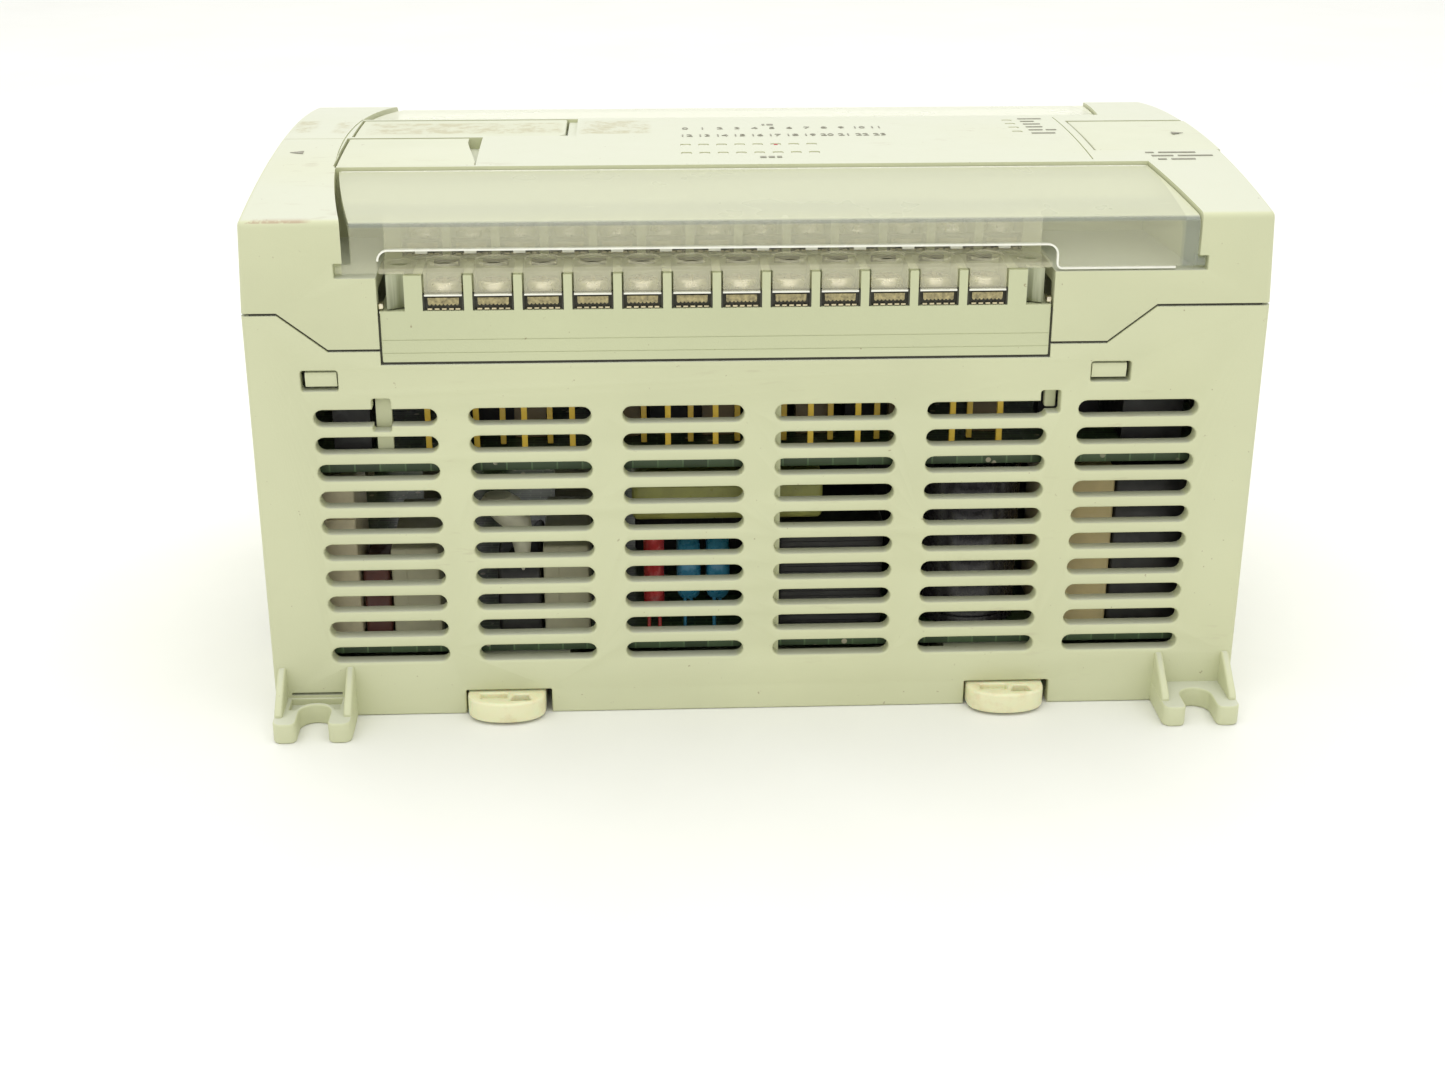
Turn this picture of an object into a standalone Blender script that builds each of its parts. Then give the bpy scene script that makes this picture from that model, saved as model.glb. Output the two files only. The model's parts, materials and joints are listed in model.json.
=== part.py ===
"""Brick-shaped programmable controller with screw terminals, on a DIN rail back.

Metres, +Z up. X runs along the module, Y across it, and the back plane lies on Z = 0 with the
front panel facing up. The output terminals are on the -Y side and the input terminals on the
+Y side.
"""

import math

import bmesh
import bpy

# ---------------------------------------------------------------- driving dimensions (metres)
LENGTH = 0.160
DEPTH = 0.090
HEIGHT = 0.087
END_DRAFT = 0.00065
CROWN_DROP = 0.00312
CROWN_POWER = 2.06
WALL = 0.0025
GAP = 0.0003

HALF_LENGTH = LENGTH / 2
HALF_DEPTH = DEPTH / 2
EDGE_HEIGHT = HEIGHT - CROWN_DROP

# seam between the base and the front housing
SEAM_END_Z = 0.0693
SEAM_MIDDLE_Z = 0.0634
SEAM_SLOPES = ((-0.0746, -0.0671), (0.0546, 0.0621))

# terminal bay, the same on both long sides
BAY_LEFT = -0.0591
BAY_RIGHT = 0.0457
BAY_SILL_Z = 0.0610
BAY_BACK_Y = 0.0200
PANEL_HALF = 0.0195
PANEL_WALL = 0.0017

# recess under a terminal door
RECESS_FLOOR_Z = 0.0749
RECESS_APEX_X = -0.0684
RECESS_CORNER_X = -0.0640
RECESS_ARC_RADIUS = ((RECESS_CORNER_X - RECESS_APEX_X) ** 2 + HALF_DEPTH ** 2) / (
    2 * (RECESS_CORNER_X - RECESS_APEX_X))
RECESS_RIGHT_BACK_X = 0.0653
RECESS_RIGHT_FRONT_X = 0.0681

# ventilation slots
VENT_COLUMN_PITCH = 0.0242
VENT_COLUMNS = 6
VENT_ROWS = 10
VENT_ROW_PITCH = 0.004574
VENT_FIRST_Z = 0.01115
VENT_WIDTH = 0.0195
VENT_HEIGHT = 0.0030

# terminal cells
CELL_PITCH = 0.00766
CELL_WIDTH = 0.00635
FRONT_CELLS = 12
REAR_CELLS = 13
FRONT_FIRST_X = -0.04896
REAR_FIRST_X = FRONT_FIRST_X - CELL_PITCH / 2
FRONT_FLOOR_Z = 0.0696
REAR_FLOOR_Z = 0.0754
FRONT_SCREW_Y = -0.0405
REAR_SCREW_Y = -0.0295
SCREW_HEAD_RADIUS = 0.0026
GUARD_HOLE_RADIUS = 0.00205
RETAINING_X = (-0.0558, 0.0423)

# DIN rail channel and its latches
RAIL_HALF = 0.0178
RAIL_DEPTH = 0.0078
RAIL_LIP = 0.0016
RAIL_LIP_Z = 0.0063
RAIL_RELIEF_Z = 0.0081
LATCH_WIDTH = 0.0129
LATCH_LEFT_X = (-0.0482, 0.0351)
LATCH_TRAVEL = 0.005
LATCH_TOP_Z = 0.0040
LATCH_OPENING_Z = 0.0043

# screw mounting tabs
TAB_CENTRE_X = 0.0729
TAB_CENTRE_Y = 0.0500
TAB_REACH = 0.0545
TAB_HALF_WIDTH = 0.00635
TAB_THICKNESS = 0.0035
TAB_SLOT_RADIUS = 0.0026
TAB_RIB = 0.0012
TAB_RIB_TOP_Z = 0.0090

# hinge axes
DOOR_HINGE_Y = 0.0440
DOOR_HINGE_Z = 0.0761
ACCESS_HINGE_X = -0.0669
ACCESS_HINGE_DROP = 0.0006
BUS_HINGE_X = 0.0590

# boards
BOARD_HALF_LENGTH = 0.0765
BOARD_HALF_DEPTH = 0.0412
BOARD_THICKNESS = 0.0016
POWER_BOARD_Z = 0.0097
PROCESSOR_BOARD_Z = 0.0419
DISPLAY_BOARD_Z = 0.0670
INNER_FLOOR_Z = 0.0094
SPACER_PLACES = [(x, y) for x in (-0.0741, 0.0741) for y in (-0.0370, 0.0370)]
SPACER_RADIUS = 0.0020


# ---------------------------------------------------------------- shapes
# A shape is (outline, axis, start, end): a closed outline in the two other axes, extruded.

def prism(axis, start, end, outline):
    return (tuple(outline), axis, start, end)


def box(x, y, z):
    """Box from three (low, high) pairs."""
    outline = ((x[0], y[0]), (x[1], y[0]), (x[1], y[1]), (x[0], y[1]))
    return prism("Z", z[0], z[1], outline)


def arc(centre, radius, start, end, segments):
    """Points on an arc, angles in degrees, both ends included."""
    points = []
    for step in range(segments + 1):
        angle = math.radians(start + (end - start) * step / segments)
        points.append((centre[0] + radius * math.cos(angle), centre[1] + radius * math.sin(angle)))
    return points


def cylinder(axis, centre, radius, start, end, segments=12):
    """Round bar along an axis; centre is in the two other axes."""
    turn = 360 / segments
    return prism(axis, start, end, arc(centre, radius, turn / 2, 360 - turn / 2, segments - 1))


def mirrored(shapes):
    """The same shapes on the other long side (Y reversed)."""
    result = []
    for outline, axis, start, end in shapes:
        if axis == "X":
            result.append((tuple((-y, z) for y, z in outline), axis, start, end))
        elif axis == "Y":
            result.append((outline, axis, -end, -start))
        else:
            result.append((tuple((x, -y) for x, y in outline), axis, start, end))
    return result


def on_side(shapes, side):
    """Shapes are written for the -Y side; side +1 mirrors them."""
    if side < 0:
        return list(shapes)
    return mirrored(shapes)


def both_sides(shapes):
    return list(shapes) + mirrored(shapes)


def place(axis, point, along):
    """World point from an outline point and a distance along the extrusion axis."""
    if axis == "X":
        return (along, point[0], point[1])
    if axis == "Y":
        return (point[0], along, point[1])
    return (point[0], point[1], along)


def add_shape(mesh, shape, origin):
    outline, axis, start, end = shape
    rings = []
    for along in (start, end):
        ring = []
        for point in outline:
            world = place(axis, point, along)
            ring.append(mesh.verts.new([world[i] - origin[i] for i in range(3)]))
        rings.append(ring)
    faces = [mesh.faces.new(rings[0]), mesh.faces.new(rings[1])]
    for index in range(len(outline)):
        following = (index + 1) % len(outline)
        corners = (rings[0][index], rings[0][following], rings[1][following], rings[1][index])
        faces.append(mesh.faces.new(corners))
    bmesh.ops.recalc_face_normals(mesh, faces=faces)


# ---------------------------------------------------------------- objects

def new_object(name, shapes, origin=(0.0, 0.0, 0.0)):
    mesh = bmesh.new()
    for shape in shapes:
        add_shape(mesh, shape, origin)
    data = bpy.data.meshes.new(name)
    mesh.to_mesh(data)
    mesh.free()
    obj = bpy.data.objects.new(name, data)
    obj.location = origin
    bpy.context.scene.collection.objects.link(obj)
    return obj


def apply_tool(target, operation, shapes):
    """Boolean with a hidden helper that holds shapes which don't touch each other."""
    helper = new_object(target.name + "_" + operation.lower() + str(len(target.modifiers)), shapes)
    helper.hide_render = True
    helper.display_type = "WIRE"
    modifier = target.modifiers.new(operation.title(), "BOOLEAN")
    modifier.operation = operation
    modifier.object = helper


def build(name, material, body, add=(), keep=(), cut=(), origin=(0.0, 0.0, 0.0), smooth=False):
    """One sub-part: a body, with groups of shapes joined to it, kept inside, then cut away."""
    obj = new_object(name, body, origin)
    for shapes in add:
        apply_tool(obj, "UNION", shapes)
    for shapes in keep:
        apply_tool(obj, "INTERSECT", shapes)
    for shapes in cut:
        apply_tool(obj, "DIFFERENCE", shapes)
    obj.data.materials.append(material)
    if smooth:
        obj.data.shade_smooth()
        obj.data.set_sharp_from_angle(angle=math.radians(40))
    return obj


def make_material(name, colour, roughness, metallic=0.0, transmission=0.0):
    material = bpy.data.materials.new(name)
    material.use_nodes = True
    shader = material.node_tree.nodes["Principled BSDF"]
    shader.inputs["Base Color"].default_value = (*colour, 1.0)
    shader.inputs["Roughness"].default_value = roughness
    shader.inputs["Metallic"].default_value = metallic
    shader.inputs["Transmission Weight"].default_value = transmission
    material.diffuse_color = (*colour, 1.0)
    return material


# ---------------------------------------------------------------- outlines of the housing

def crown(y):
    """Height of the gently domed front panel."""
    return HEIGHT - CROWN_DROP * (abs(y) / HALF_DEPTH) ** CROWN_POWER


def crown_points(start_y, end_y, drop, segments):
    points = []
    for step in range(segments + 1):
        y = start_y + (end_y - start_y) * step / segments
        points.append((y, crown(y) - drop))
    return points


def recess_left(y):
    return RECESS_APEX_X + RECESS_ARC_RADIUS - math.sqrt(RECESS_ARC_RADIUS ** 2 - y * y)


def recess_right(y):
    slope = (RECESS_RIGHT_FRONT_X - RECESS_RIGHT_BACK_X) / (HALF_DEPTH - PANEL_HALF)
    return RECESS_RIGHT_BACK_X + (abs(y) - PANEL_HALF) * slope


def door_plan(back_y, front_y, left_gap=0.0, left_flare=0.0, right_gap=0.0):
    """Plan of the -Y door or its recess: curved left edge, slanting right edge.

    The left gap widens towards the front, where the door's edge swings past the end cap.
    """
    left = []
    for step in range(7):
        y = back_y + (front_y - back_y) * step / 6
        left.append((recess_left(y) + left_gap + left_flare * step / 6, y))
    right = [(recess_right(front_y) - right_gap, front_y), (recess_right(back_y) - right_gap, back_y)]
    return left + right


def seam_line(shift):
    """Seam seen along Y, from left to right; shift raises or lowers it."""
    (left_out, left_in), (right_in, right_out) = SEAM_SLOPES
    return [
        (-HALF_LENGTH - 0.001, SEAM_END_Z + shift),
        (left_out, SEAM_END_Z + shift),
        (left_in, SEAM_MIDDLE_Z + shift),
        (BAY_LEFT, SEAM_MIDDLE_Z + shift),
        (BAY_RIGHT, SEAM_MIDDLE_Z + shift),
        (right_in, SEAM_MIDDLE_Z + shift),
        (right_out, SEAM_END_Z + shift),
        (HALF_LENGTH + 0.001, SEAM_END_Z + shift),
    ]


SNAP_WINDOWS = ((-0.0717, -0.0659), (0.0524, 0.0588))
SNAP_WINDOW_Z = (0.0568, 0.0602)
CLIP_NOTCHES = ((-0.0610, -0.0580, 0.0500), (0.0447, 0.0479, 0.0517))
CLIP_NOTCH_TOP_Z = 0.0555


# ---------------------------------------------------------------- base housing

def vent_slot(x, z):
    """Stadium-shaped slot through the near wall."""
    radius = VENT_HEIGHT / 2
    reach = VENT_WIDTH / 2 - radius
    outline = arc((x + reach, z), radius, -90, 90, 2) + arc((x - reach, z), radius, 90, 270, 2)
    return prism("Y", -HALF_DEPTH - 0.001, -HALF_DEPTH + WALL + 0.0006, outline)


def vent_slots():
    slots = []
    for column in range(VENT_COLUMNS):
        x = (column - (VENT_COLUMNS - 1) / 2) * VENT_COLUMN_PITCH
        for row in range(VENT_ROWS):
            slots.append(vent_slot(x, VENT_FIRST_Z + row * VENT_ROW_PITCH))
    return slots


def tab_plate(x):
    """Mounting ear with a U slot that is open outward and rounded prong ends."""
    tip = 0.0014
    slot_x = TAB_SLOT_RADIUS
    outline = [(x - TAB_HALF_WIDTH, -HALF_DEPTH + 0.001)]
    outline += arc((x - TAB_HALF_WIDTH + tip, -TAB_REACH + tip), tip, 180, 270, 3)
    outline += arc((x - slot_x - tip * 0.8, -TAB_REACH + tip * 0.8), tip * 0.8, 270, 360, 3)
    outline += arc((x, -TAB_CENTRE_Y), slot_x, 180, 0, 8)
    outline += arc((x + slot_x + tip * 0.8, -TAB_REACH + tip * 0.8), tip * 0.8, 180, 270, 3)
    outline += arc((x + TAB_HALF_WIDTH - tip, -TAB_REACH + tip), tip, 270, 360, 3)
    outline += [(x + TAB_HALF_WIDTH, -HALF_DEPTH + 0.001)]
    return prism("Z", 0.0, TAB_THICKNESS, outline)


def tab_ribs(x):
    """Gussets at both sides of an ear."""
    profile = [
        (-HALF_DEPTH + 0.001, 0.001),
        (-HALF_DEPTH + 0.001, TAB_RIB_TOP_Z),
        (-HALF_DEPTH - 0.0006, TAB_RIB_TOP_Z),
        (-TAB_REACH + 0.0026, TAB_THICKNESS + 0.0006),
        (-TAB_REACH + 0.0026, 0.001),
    ]
    inset = 0.0001
    left = x - TAB_HALF_WIDTH + inset
    right = x + TAB_HALF_WIDTH - inset
    return [
        prism("X", left, left + TAB_RIB, profile),
        prism("X", right - TAB_RIB, right, profile),
    ]


def tab_pocket(x):
    """Shallow pocket between the wall and the ring around the slot, in one ear only."""
    slot = (x, -TAB_CENTRE_Y)
    low = x - 0.0043
    high = x + 0.0040
    outline = [(low, -HALF_DEPTH - 0.0002), (high, -HALF_DEPTH - 0.0002), (high, -0.0492)]
    outline += arc(slot, TAB_SLOT_RADIUS + 0.0007, 14, 166, 8)
    outline += [(low, -0.0492)]
    return prism("Z", TAB_THICKNESS - 0.0012, TAB_THICKNESS + 0.0010, outline)


def latch_pocket(left_x):
    """Spaces cut for one DIN latch: its way out, its tip and its side rails."""
    low = left_x - GAP
    high = left_x + LATCH_WIDTH + 0.0008
    body = box((low, high), (-HALF_DEPTH - 0.001, -RAIL_HALF + 0.0005), (-0.001, LATCH_OPENING_Z))
    tip = box((low + 0.0001, high - 0.0001), (-0.0255, -RAIL_HALF + 0.0005), (0.002, 0.0063))
    rails = box((low - 0.0011, high + 0.0011), (-0.0434, -0.0234), (0.0016, 0.0034))
    return body, tip, rails


def base_housing(material):
    body = [box((-HALF_LENGTH, HALF_LENGTH), (-HALF_DEPTH, HALF_DEPTH), (0.0, 0.0720))]
    tabs = [tab_plate(-TAB_CENTRE_X), tab_plate(TAB_CENTRE_X)]
    ribs = tab_ribs(-TAB_CENTRE_X) + tab_ribs(TAB_CENTRE_X)

    inner_x = HALF_LENGTH - WALL
    inner_y = HALF_DEPTH - WALL
    chamber = box((-inner_x, inner_x), (-inner_y, inner_y), (INNER_FLOOR_Z, 0.080))
    above_seam = seam_line(-GAP / 2)
    above_seam[4:4] = [(BAY_LEFT, BAY_SILL_Z), (BAY_RIGHT, BAY_SILL_Z)]
    above_seam += [(HALF_LENGTH + 0.001, 0.080), (-HALF_LENGTH - 0.001, 0.080)]
    upper = prism("Y", -HALF_DEPTH - 0.001, HALF_DEPTH + 0.001, above_seam)

    sunk_near_y = (-inner_y, -0.0203)
    sunk_far_y = (0.0203, inner_y)
    sunk_z = (0.0024, INNER_FLOOR_Z + 0.0005)
    sunk = [
        box((-inner_x, -0.0515), sunk_near_y, sunk_z),
        box((-0.0312, 0.0316), sunk_near_y, sunk_z),
        box((0.0518, inner_x), sunk_near_y, sunk_z),
        box((-inner_x, inner_x), sunk_far_y, sunk_z),
    ]
    lip_y = RAIL_HALF - RAIL_LIP
    seat_y = lip_y - GAP
    channel = prism("X", -HALF_LENGTH - 0.001, HALF_LENGTH + 0.001, (
        (-RAIL_HALF, -0.001), (-RAIL_HALF, RAIL_RELIEF_Z), (-seat_y, RAIL_RELIEF_Z),
        (-seat_y, RAIL_DEPTH), (seat_y, RAIL_DEPTH), (seat_y, RAIL_RELIEF_Z),
        (RAIL_HALF, RAIL_RELIEF_Z), (RAIL_HALF, RAIL_LIP_Z), (lip_y, RAIL_LIP_Z), (lip_y, -0.001)))

    wall_y = (-HALF_DEPTH - 0.001, -inner_y + 0.0006)
    windows = [box(x, wall_y, SNAP_WINDOW_Z) for x in SNAP_WINDOWS]
    notches = [box((low, high), wall_y, (bottom, CLIP_NOTCH_TOP_Z)) for low, high, bottom in CLIP_NOTCHES]
    stiffeners = [box((0.0010, 0.0035), (-inner_y - 0.0004, -0.0415), (0.0050, 0.0600))]

    pockets = [latch_pocket(x) for x in LATCH_LEFT_X]
    obj = build(
        "base_housing", material, body,
        add=[both_sides(tabs), both_sides(ribs)],
        cut=[[chamber], sunk, [upper], [channel],
             [pocket[0] for pocket in pockets], [pocket[1] for pocket in pockets],
             [pocket[2] for pocket in pockets],
             both_sides(vent_slots()), both_sides(windows), both_sides(notches),
             [tab_pocket(-TAB_CENTRE_X)]])
    apply_tool(obj, "UNION", both_sides(stiffeners))
    return obj


# ---------------------------------------------------------------- front housing

def housing_hook(window):
    """Snap hook that reaches down inside the base and fills one window."""
    low = window[0] + GAP
    high = window[1] - GAP
    profile = (
        (-0.0436, 0.0722), (-0.0436, 0.0702), (-0.0421, 0.0702), (-0.0421, 0.0600),
        (-0.0446, 0.0598), (-0.0446, 0.0575), (-0.0421, 0.0571), (-0.0406, 0.0571), (-0.0406, 0.0722))
    return prism("X", low, high, profile)


def strap(low_x, high_x, bottom):
    """Slim strap inside the base wall, hung from the inner face of the front housing."""
    outer_y = -HALF_DEPTH + WALL
    return prism("X", low_x, high_x, (
        (outer_y - 0.0006, 0.0660), (outer_y - 0.0006, 0.0638), (outer_y + 0.0004, 0.0638),
        (outer_y + 0.0004, bottom), (outer_y + 0.0016, bottom), (outer_y + 0.0016, 0.0660)))


def housing_straps():
    """Straps that show behind the notches of the base."""
    left_block_side = BAY_LEFT - 0.0001
    right_block_side = BAY_RIGHT + 0.0001
    return [strap(-0.0607, left_block_side, 0.0596), strap(right_block_side, 0.0476, 0.0519)]


def led_windows(margin):
    """Two rows of output windows and a column of status windows, as boxes in plan."""
    windows = []
    for row_y in (-0.0064, -0.0122):
        for column in range(8):
            x = -0.0105 + column * 0.00305
            windows.append((x, row_y))
    for row in range(4):
        windows.append((0.0475, 0.0135 - row * 0.0037))
    half_x = 0.0009 - margin
    half_y = 0.0007 - margin
    return [((x - half_x, x + half_x), (y - half_y, y + half_y)) for x, y in windows]


MEMORY_RECESS = ((-0.0674, -0.0291), (0.0017, 0.0185))
ACCESS_RECESS = ((-0.0680, -0.0450), (-0.0188, 0.0007))
BUS_RECESS = ((0.0578, HALF_LENGTH + 0.001), (-0.0125, 0.0125))
COVER_SEAT_DROP = 0.0020


def cover_profile(y_low, y_high, drop, depth):
    """Section across Y that follows the crown at a drop below it."""
    top = crown_points(y_low, y_high, drop, 6)
    return top + [(y_high, crown(y_high) - depth), (y_low, crown(y_low) - depth)]


def seat_cutter(recess, y_margin=0.0):
    """Shallow seat for a cover, following the crown."""
    low, high = recess[1]
    floor = crown_points(low - y_margin, high + y_margin, COVER_SEAT_DROP, 6)
    outline = floor + [(high + y_margin, HEIGHT + 0.002), (low - y_margin, HEIGHT + 0.002)]
    return prism("X", recess[0][0], recess[0][1], outline)


def front_housing(material):
    outer = crown_points(-HALF_DEPTH, HALF_DEPTH, 0.0, 24)
    outer += [(HALF_DEPTH, SEAM_END_Z), (HALF_DEPTH, 0.0620), (-HALF_DEPTH, 0.0620),
              (-HALF_DEPTH, SEAM_END_Z)]
    body = [prism("X", -HALF_LENGTH, HALF_LENGTH, outer)]

    inner_x = HALF_LENGTH - WALL - 0.0006
    inner_y = HALF_DEPTH - WALL
    panel_inner = PANEL_HALF - PANEL_WALL
    middle = box((-inner_x, inner_x), (-panel_inner, panel_inner), (0.050, 0.0836))
    under_recess = box((-inner_x, inner_x), (-inner_y, -PANEL_HALF), (0.050, RECESS_FLOOR_Z - 0.0022))
    ends = [
        box((-inner_x, -0.0705), (-inner_y, -panel_inner - 0.0001), (0.051, 0.0815)),
        box((0.0705, inner_x), (-inner_y, -panel_inner - 0.0001), (0.051, 0.0815)),
    ]
    recess = prism("Z", RECESS_FLOOR_Z, HEIGHT + 0.002,
                   door_plan(-PANEL_HALF, -HALF_DEPTH - 0.001))
    bay = box((BAY_LEFT, BAY_RIGHT), (-HALF_DEPTH - 0.001, -BAY_BACK_Y), (0.055, RECESS_FLOOR_Z + 0.001))
    pin_pockets = [
        box((-0.0654, -0.0630), (-HALF_DEPTH - 0.001, -0.0428), (RECESS_FLOOR_Z, 0.0772)),
        box((0.0670, 0.0695), (-HALF_DEPTH - 0.001, -0.0428), (RECESS_FLOOR_Z, 0.0772)),
    ]
    below = seam_line(GAP / 2) + [(HALF_LENGTH + 0.001, 0.050), (-HALF_LENGTH - 0.001, 0.050)]
    lower = prism("Y", -HALF_DEPTH - 0.001, HALF_DEPTH + 0.001, below)

    wells = [
        box((-0.0650, -0.0322), (0.0040, 0.0162), (0.080, 0.090)),
        box((-0.0655, -0.0475), (-0.0170, -0.0011), (0.080, 0.090)),
        box((0.0615, 0.0770), (-0.0108, 0.0108), (0.080, 0.090)),
    ]
    cable_notch = box((0.0750, HALF_LENGTH + 0.001), (-0.0105, 0.0105), (0.0760, 0.0860))
    windows = [box(x, y, (0.080, 0.090)) for x, y in led_windows(0.0)]
    obj = build(
        "front_housing", material, body,
        cut=[[middle], both_sides([under_recess]), both_sides(ends), both_sides([recess]),
             both_sides([bay]), both_sides(pin_pockets), [lower],
             [seat_cutter(MEMORY_RECESS), seat_cutter(ACCESS_RECESS), seat_cutter(BUS_RECESS)],
             wells, [cable_notch], windows])
    apply_tool(obj, "UNION", both_sides([housing_hook(window) for window in SNAP_WINDOWS]))
    apply_tool(obj, "UNION", both_sides(housing_straps()))
    strap_foot = box((-0.0604, -0.0581), (-0.0421, -0.0409), (0.0462, 0.0600))
    apply_tool(obj, "UNION", both_sides([strap_foot]))

    for vertex in obj.data.vertices:
        rise = (vertex.co.z - SEAM_END_Z) / (EDGE_HEIGHT - SEAM_END_Z)
        vertex.co.x -= math.copysign(END_DRAFT * rise, vertex.co.x)
    return obj


# ---------------------------------------------------------------- terminal doors

DOOR_THICKNESS = 0.0016
DOOR_DROP = 0.0006
DOOR_FACE_Y = -0.0448
DOOR_BOTTOM_Z = 0.0755
DOOR_CUTOUT_Z = 0.0793
DOOR_CUTOUT_X = (-0.0588, 0.0461)


def door_profile():
    """Section of the -Y door: domed top, rounded crease, upright front."""
    inner_y = DOOR_FACE_Y + DOOR_THICKNESS
    crease = 0.0016
    outer = crown_points(-PANEL_HALF - GAP, DOOR_FACE_Y + crease, DOOR_DROP, 8)
    centre = (DOOR_FACE_Y + crease, crown(DOOR_FACE_Y + crease) - DOOR_DROP - crease)
    outer += arc(centre, crease, 110, 180, 3)
    outer += arc((DOOR_FACE_Y + 0.0005, DOOR_BOTTOM_Z + 0.0005), 0.0005, 180, 270, 2)
    inner = [(inner_y, DOOR_BOTTOM_Z), (inner_y, centre[1] - 0.0002)]
    inner += crown_points(inner_y + 0.0008, -PANEL_HALF - GAP, DOOR_DROP + DOOR_THICKNESS, 8)
    return outer + inner


def terminal_door(name, side, material):
    low, high = DOOR_CUTOUT_X
    corner = 0.0016
    cutout = [(low, 0.070)]
    cutout += arc((low + corner, DOOR_CUTOUT_Z - corner), corner, 180, 90, 3)
    cutout += arc((high - corner, DOOR_CUTOUT_Z - corner), corner, 90, 0, 3)
    cutout += [(high, 0.070)]
    pin_y = -DOOR_HINGE_Y
    left_end = recess_left(pin_y)
    right_end = recess_right(pin_y)
    pins = [
        cylinder("X", (pin_y, DOOR_HINGE_Z), 0.00075, left_end - 0.0010, left_end + 0.0030, 8),
        cylinder("X", (pin_y, DOOR_HINGE_Z), 0.00075, right_end - 0.0030, right_end + 0.0011, 8),
    ]
    plan = door_plan(-PANEL_HALF - GAP, -HALF_DEPTH - 0.001, 0.0006, 0.0009, GAP)
    return build(
        name, material, on_side([prism("X", -0.070, 0.070, door_profile())], side),
        keep=[on_side([prism("Z", 0.070, 0.090, plan)], side)],
        cut=[on_side([prism("Y", -0.047, -0.0428, cutout)], side)],
        origin=(0.0, side * DOOR_HINGE_Y, DOOR_HINGE_Z), smooth=True), on_side(pins, side)


def output_and_input_doors(material):
    for name, side in (("output_terminal_door", -1), ("input_terminal_door", 1)):
        door, pins = terminal_door(name, side, material)
        apply_tool(door, "UNION", pins)


# ---------------------------------------------------------------- terminal blocks

BLOCK_X = (BAY_LEFT + GAP, BAY_RIGHT - GAP)
BLOCK_FACE_Y = -0.0448
BLOCK_BACK_Y = -0.0204
TIER_Y = -0.0343
FRONT_TIER_Z = 0.0752
REAR_TIER_Z = 0.0809
STRIP_HALF = 0.0003


def cell_centres(first, count):
    return [first + index * CELL_PITCH for index in range(count)]


def terminal_block(name, side, material):
    profile = (
        (BLOCK_FACE_Y, BAY_SILL_Z + GAP), (BLOCK_FACE_Y, FRONT_TIER_Z), (TIER_Y, FRONT_TIER_Z),
        (TIER_Y, REAR_TIER_Z), (BLOCK_BACK_Y, REAR_TIER_Z), (BLOCK_BACK_Y, BAY_SILL_Z + GAP))
    half = CELL_WIDTH / 2
    front = []
    for x in cell_centres(FRONT_FIRST_X, FRONT_CELLS):
        front.append(box((x - half, x + half), (-0.046, -0.0353), (FRONT_FLOOR_Z, 0.077)))
    for x in ((BAY_LEFT, RETAINING_X[0] + 0.0023), (RETAINING_X[1] - 0.0023, BAY_RIGHT)):
        front.append(box(x, (-0.046, -0.0353), (FRONT_FLOOR_Z, 0.077)))
    rear = []
    for x in cell_centres(REAR_FIRST_X, REAR_CELLS):
        rear.append(box((x - half, x + half), (-0.036, -0.0240), (REAR_FLOOR_Z, 0.083)))
    slot_half = STRIP_HALF + GAP
    slots = [
        box((-0.0525, 0.0390), (FRONT_SCREW_Y - slot_half, FRONT_SCREW_Y + slot_half),
            (0.060, FRONT_FLOOR_Z + 0.0001)),
        box((-0.0565, 0.0425), (REAR_SCREW_Y - slot_half, REAR_SCREW_Y + slot_half),
            (0.060, REAR_FLOOR_Z + 0.0001)),
    ]
    bores = [cylinder("Z", (x, FRONT_SCREW_Y), 0.0013, 0.060, 0.0705, 8) for x in RETAINING_X]
    build(name, material, on_side([prism("X", BLOCK_X[0], BLOCK_X[1], profile)], side),
          cut=[on_side(front, side), on_side(rear, side), on_side(slots, side), on_side(bores, side)])


def terminal_row(name, side, material, first, count, screw_y, floor_z):
    """Clamp plates and screw heads of one row, linked by the bar that runs below the cells."""
    bottom = floor_z - 0.0060
    last = first + (count - 1) * CELL_PITCH
    bar = box((first - 0.0010, last + 0.0010), (screw_y - STRIP_HALF, screw_y + STRIP_HALF),
              (bottom, floor_z - GAP))
    legs = []
    plates = []
    heads = []
    for x in cell_centres(first, count):
        legs.append(box((x - 0.0008, x + 0.0008), (screw_y - STRIP_HALF, screw_y + STRIP_HALF),
                        (bottom + 0.0010, floor_z + 0.0008)))
        plates.append(box((x - 0.0028, x + 0.0028), (screw_y - 0.0037, screw_y + 0.0037),
                          (floor_z + GAP, floor_z + 0.0014)))
        heads.append(cylinder("Z", (x, screw_y), SCREW_HEAD_RADIUS, floor_z + 0.0010, floor_z + 0.0032, 6))
    build(name, material, on_side([bar], side),
          add=[on_side(legs, side), on_side(plates, side), on_side(heads, side)])


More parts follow.
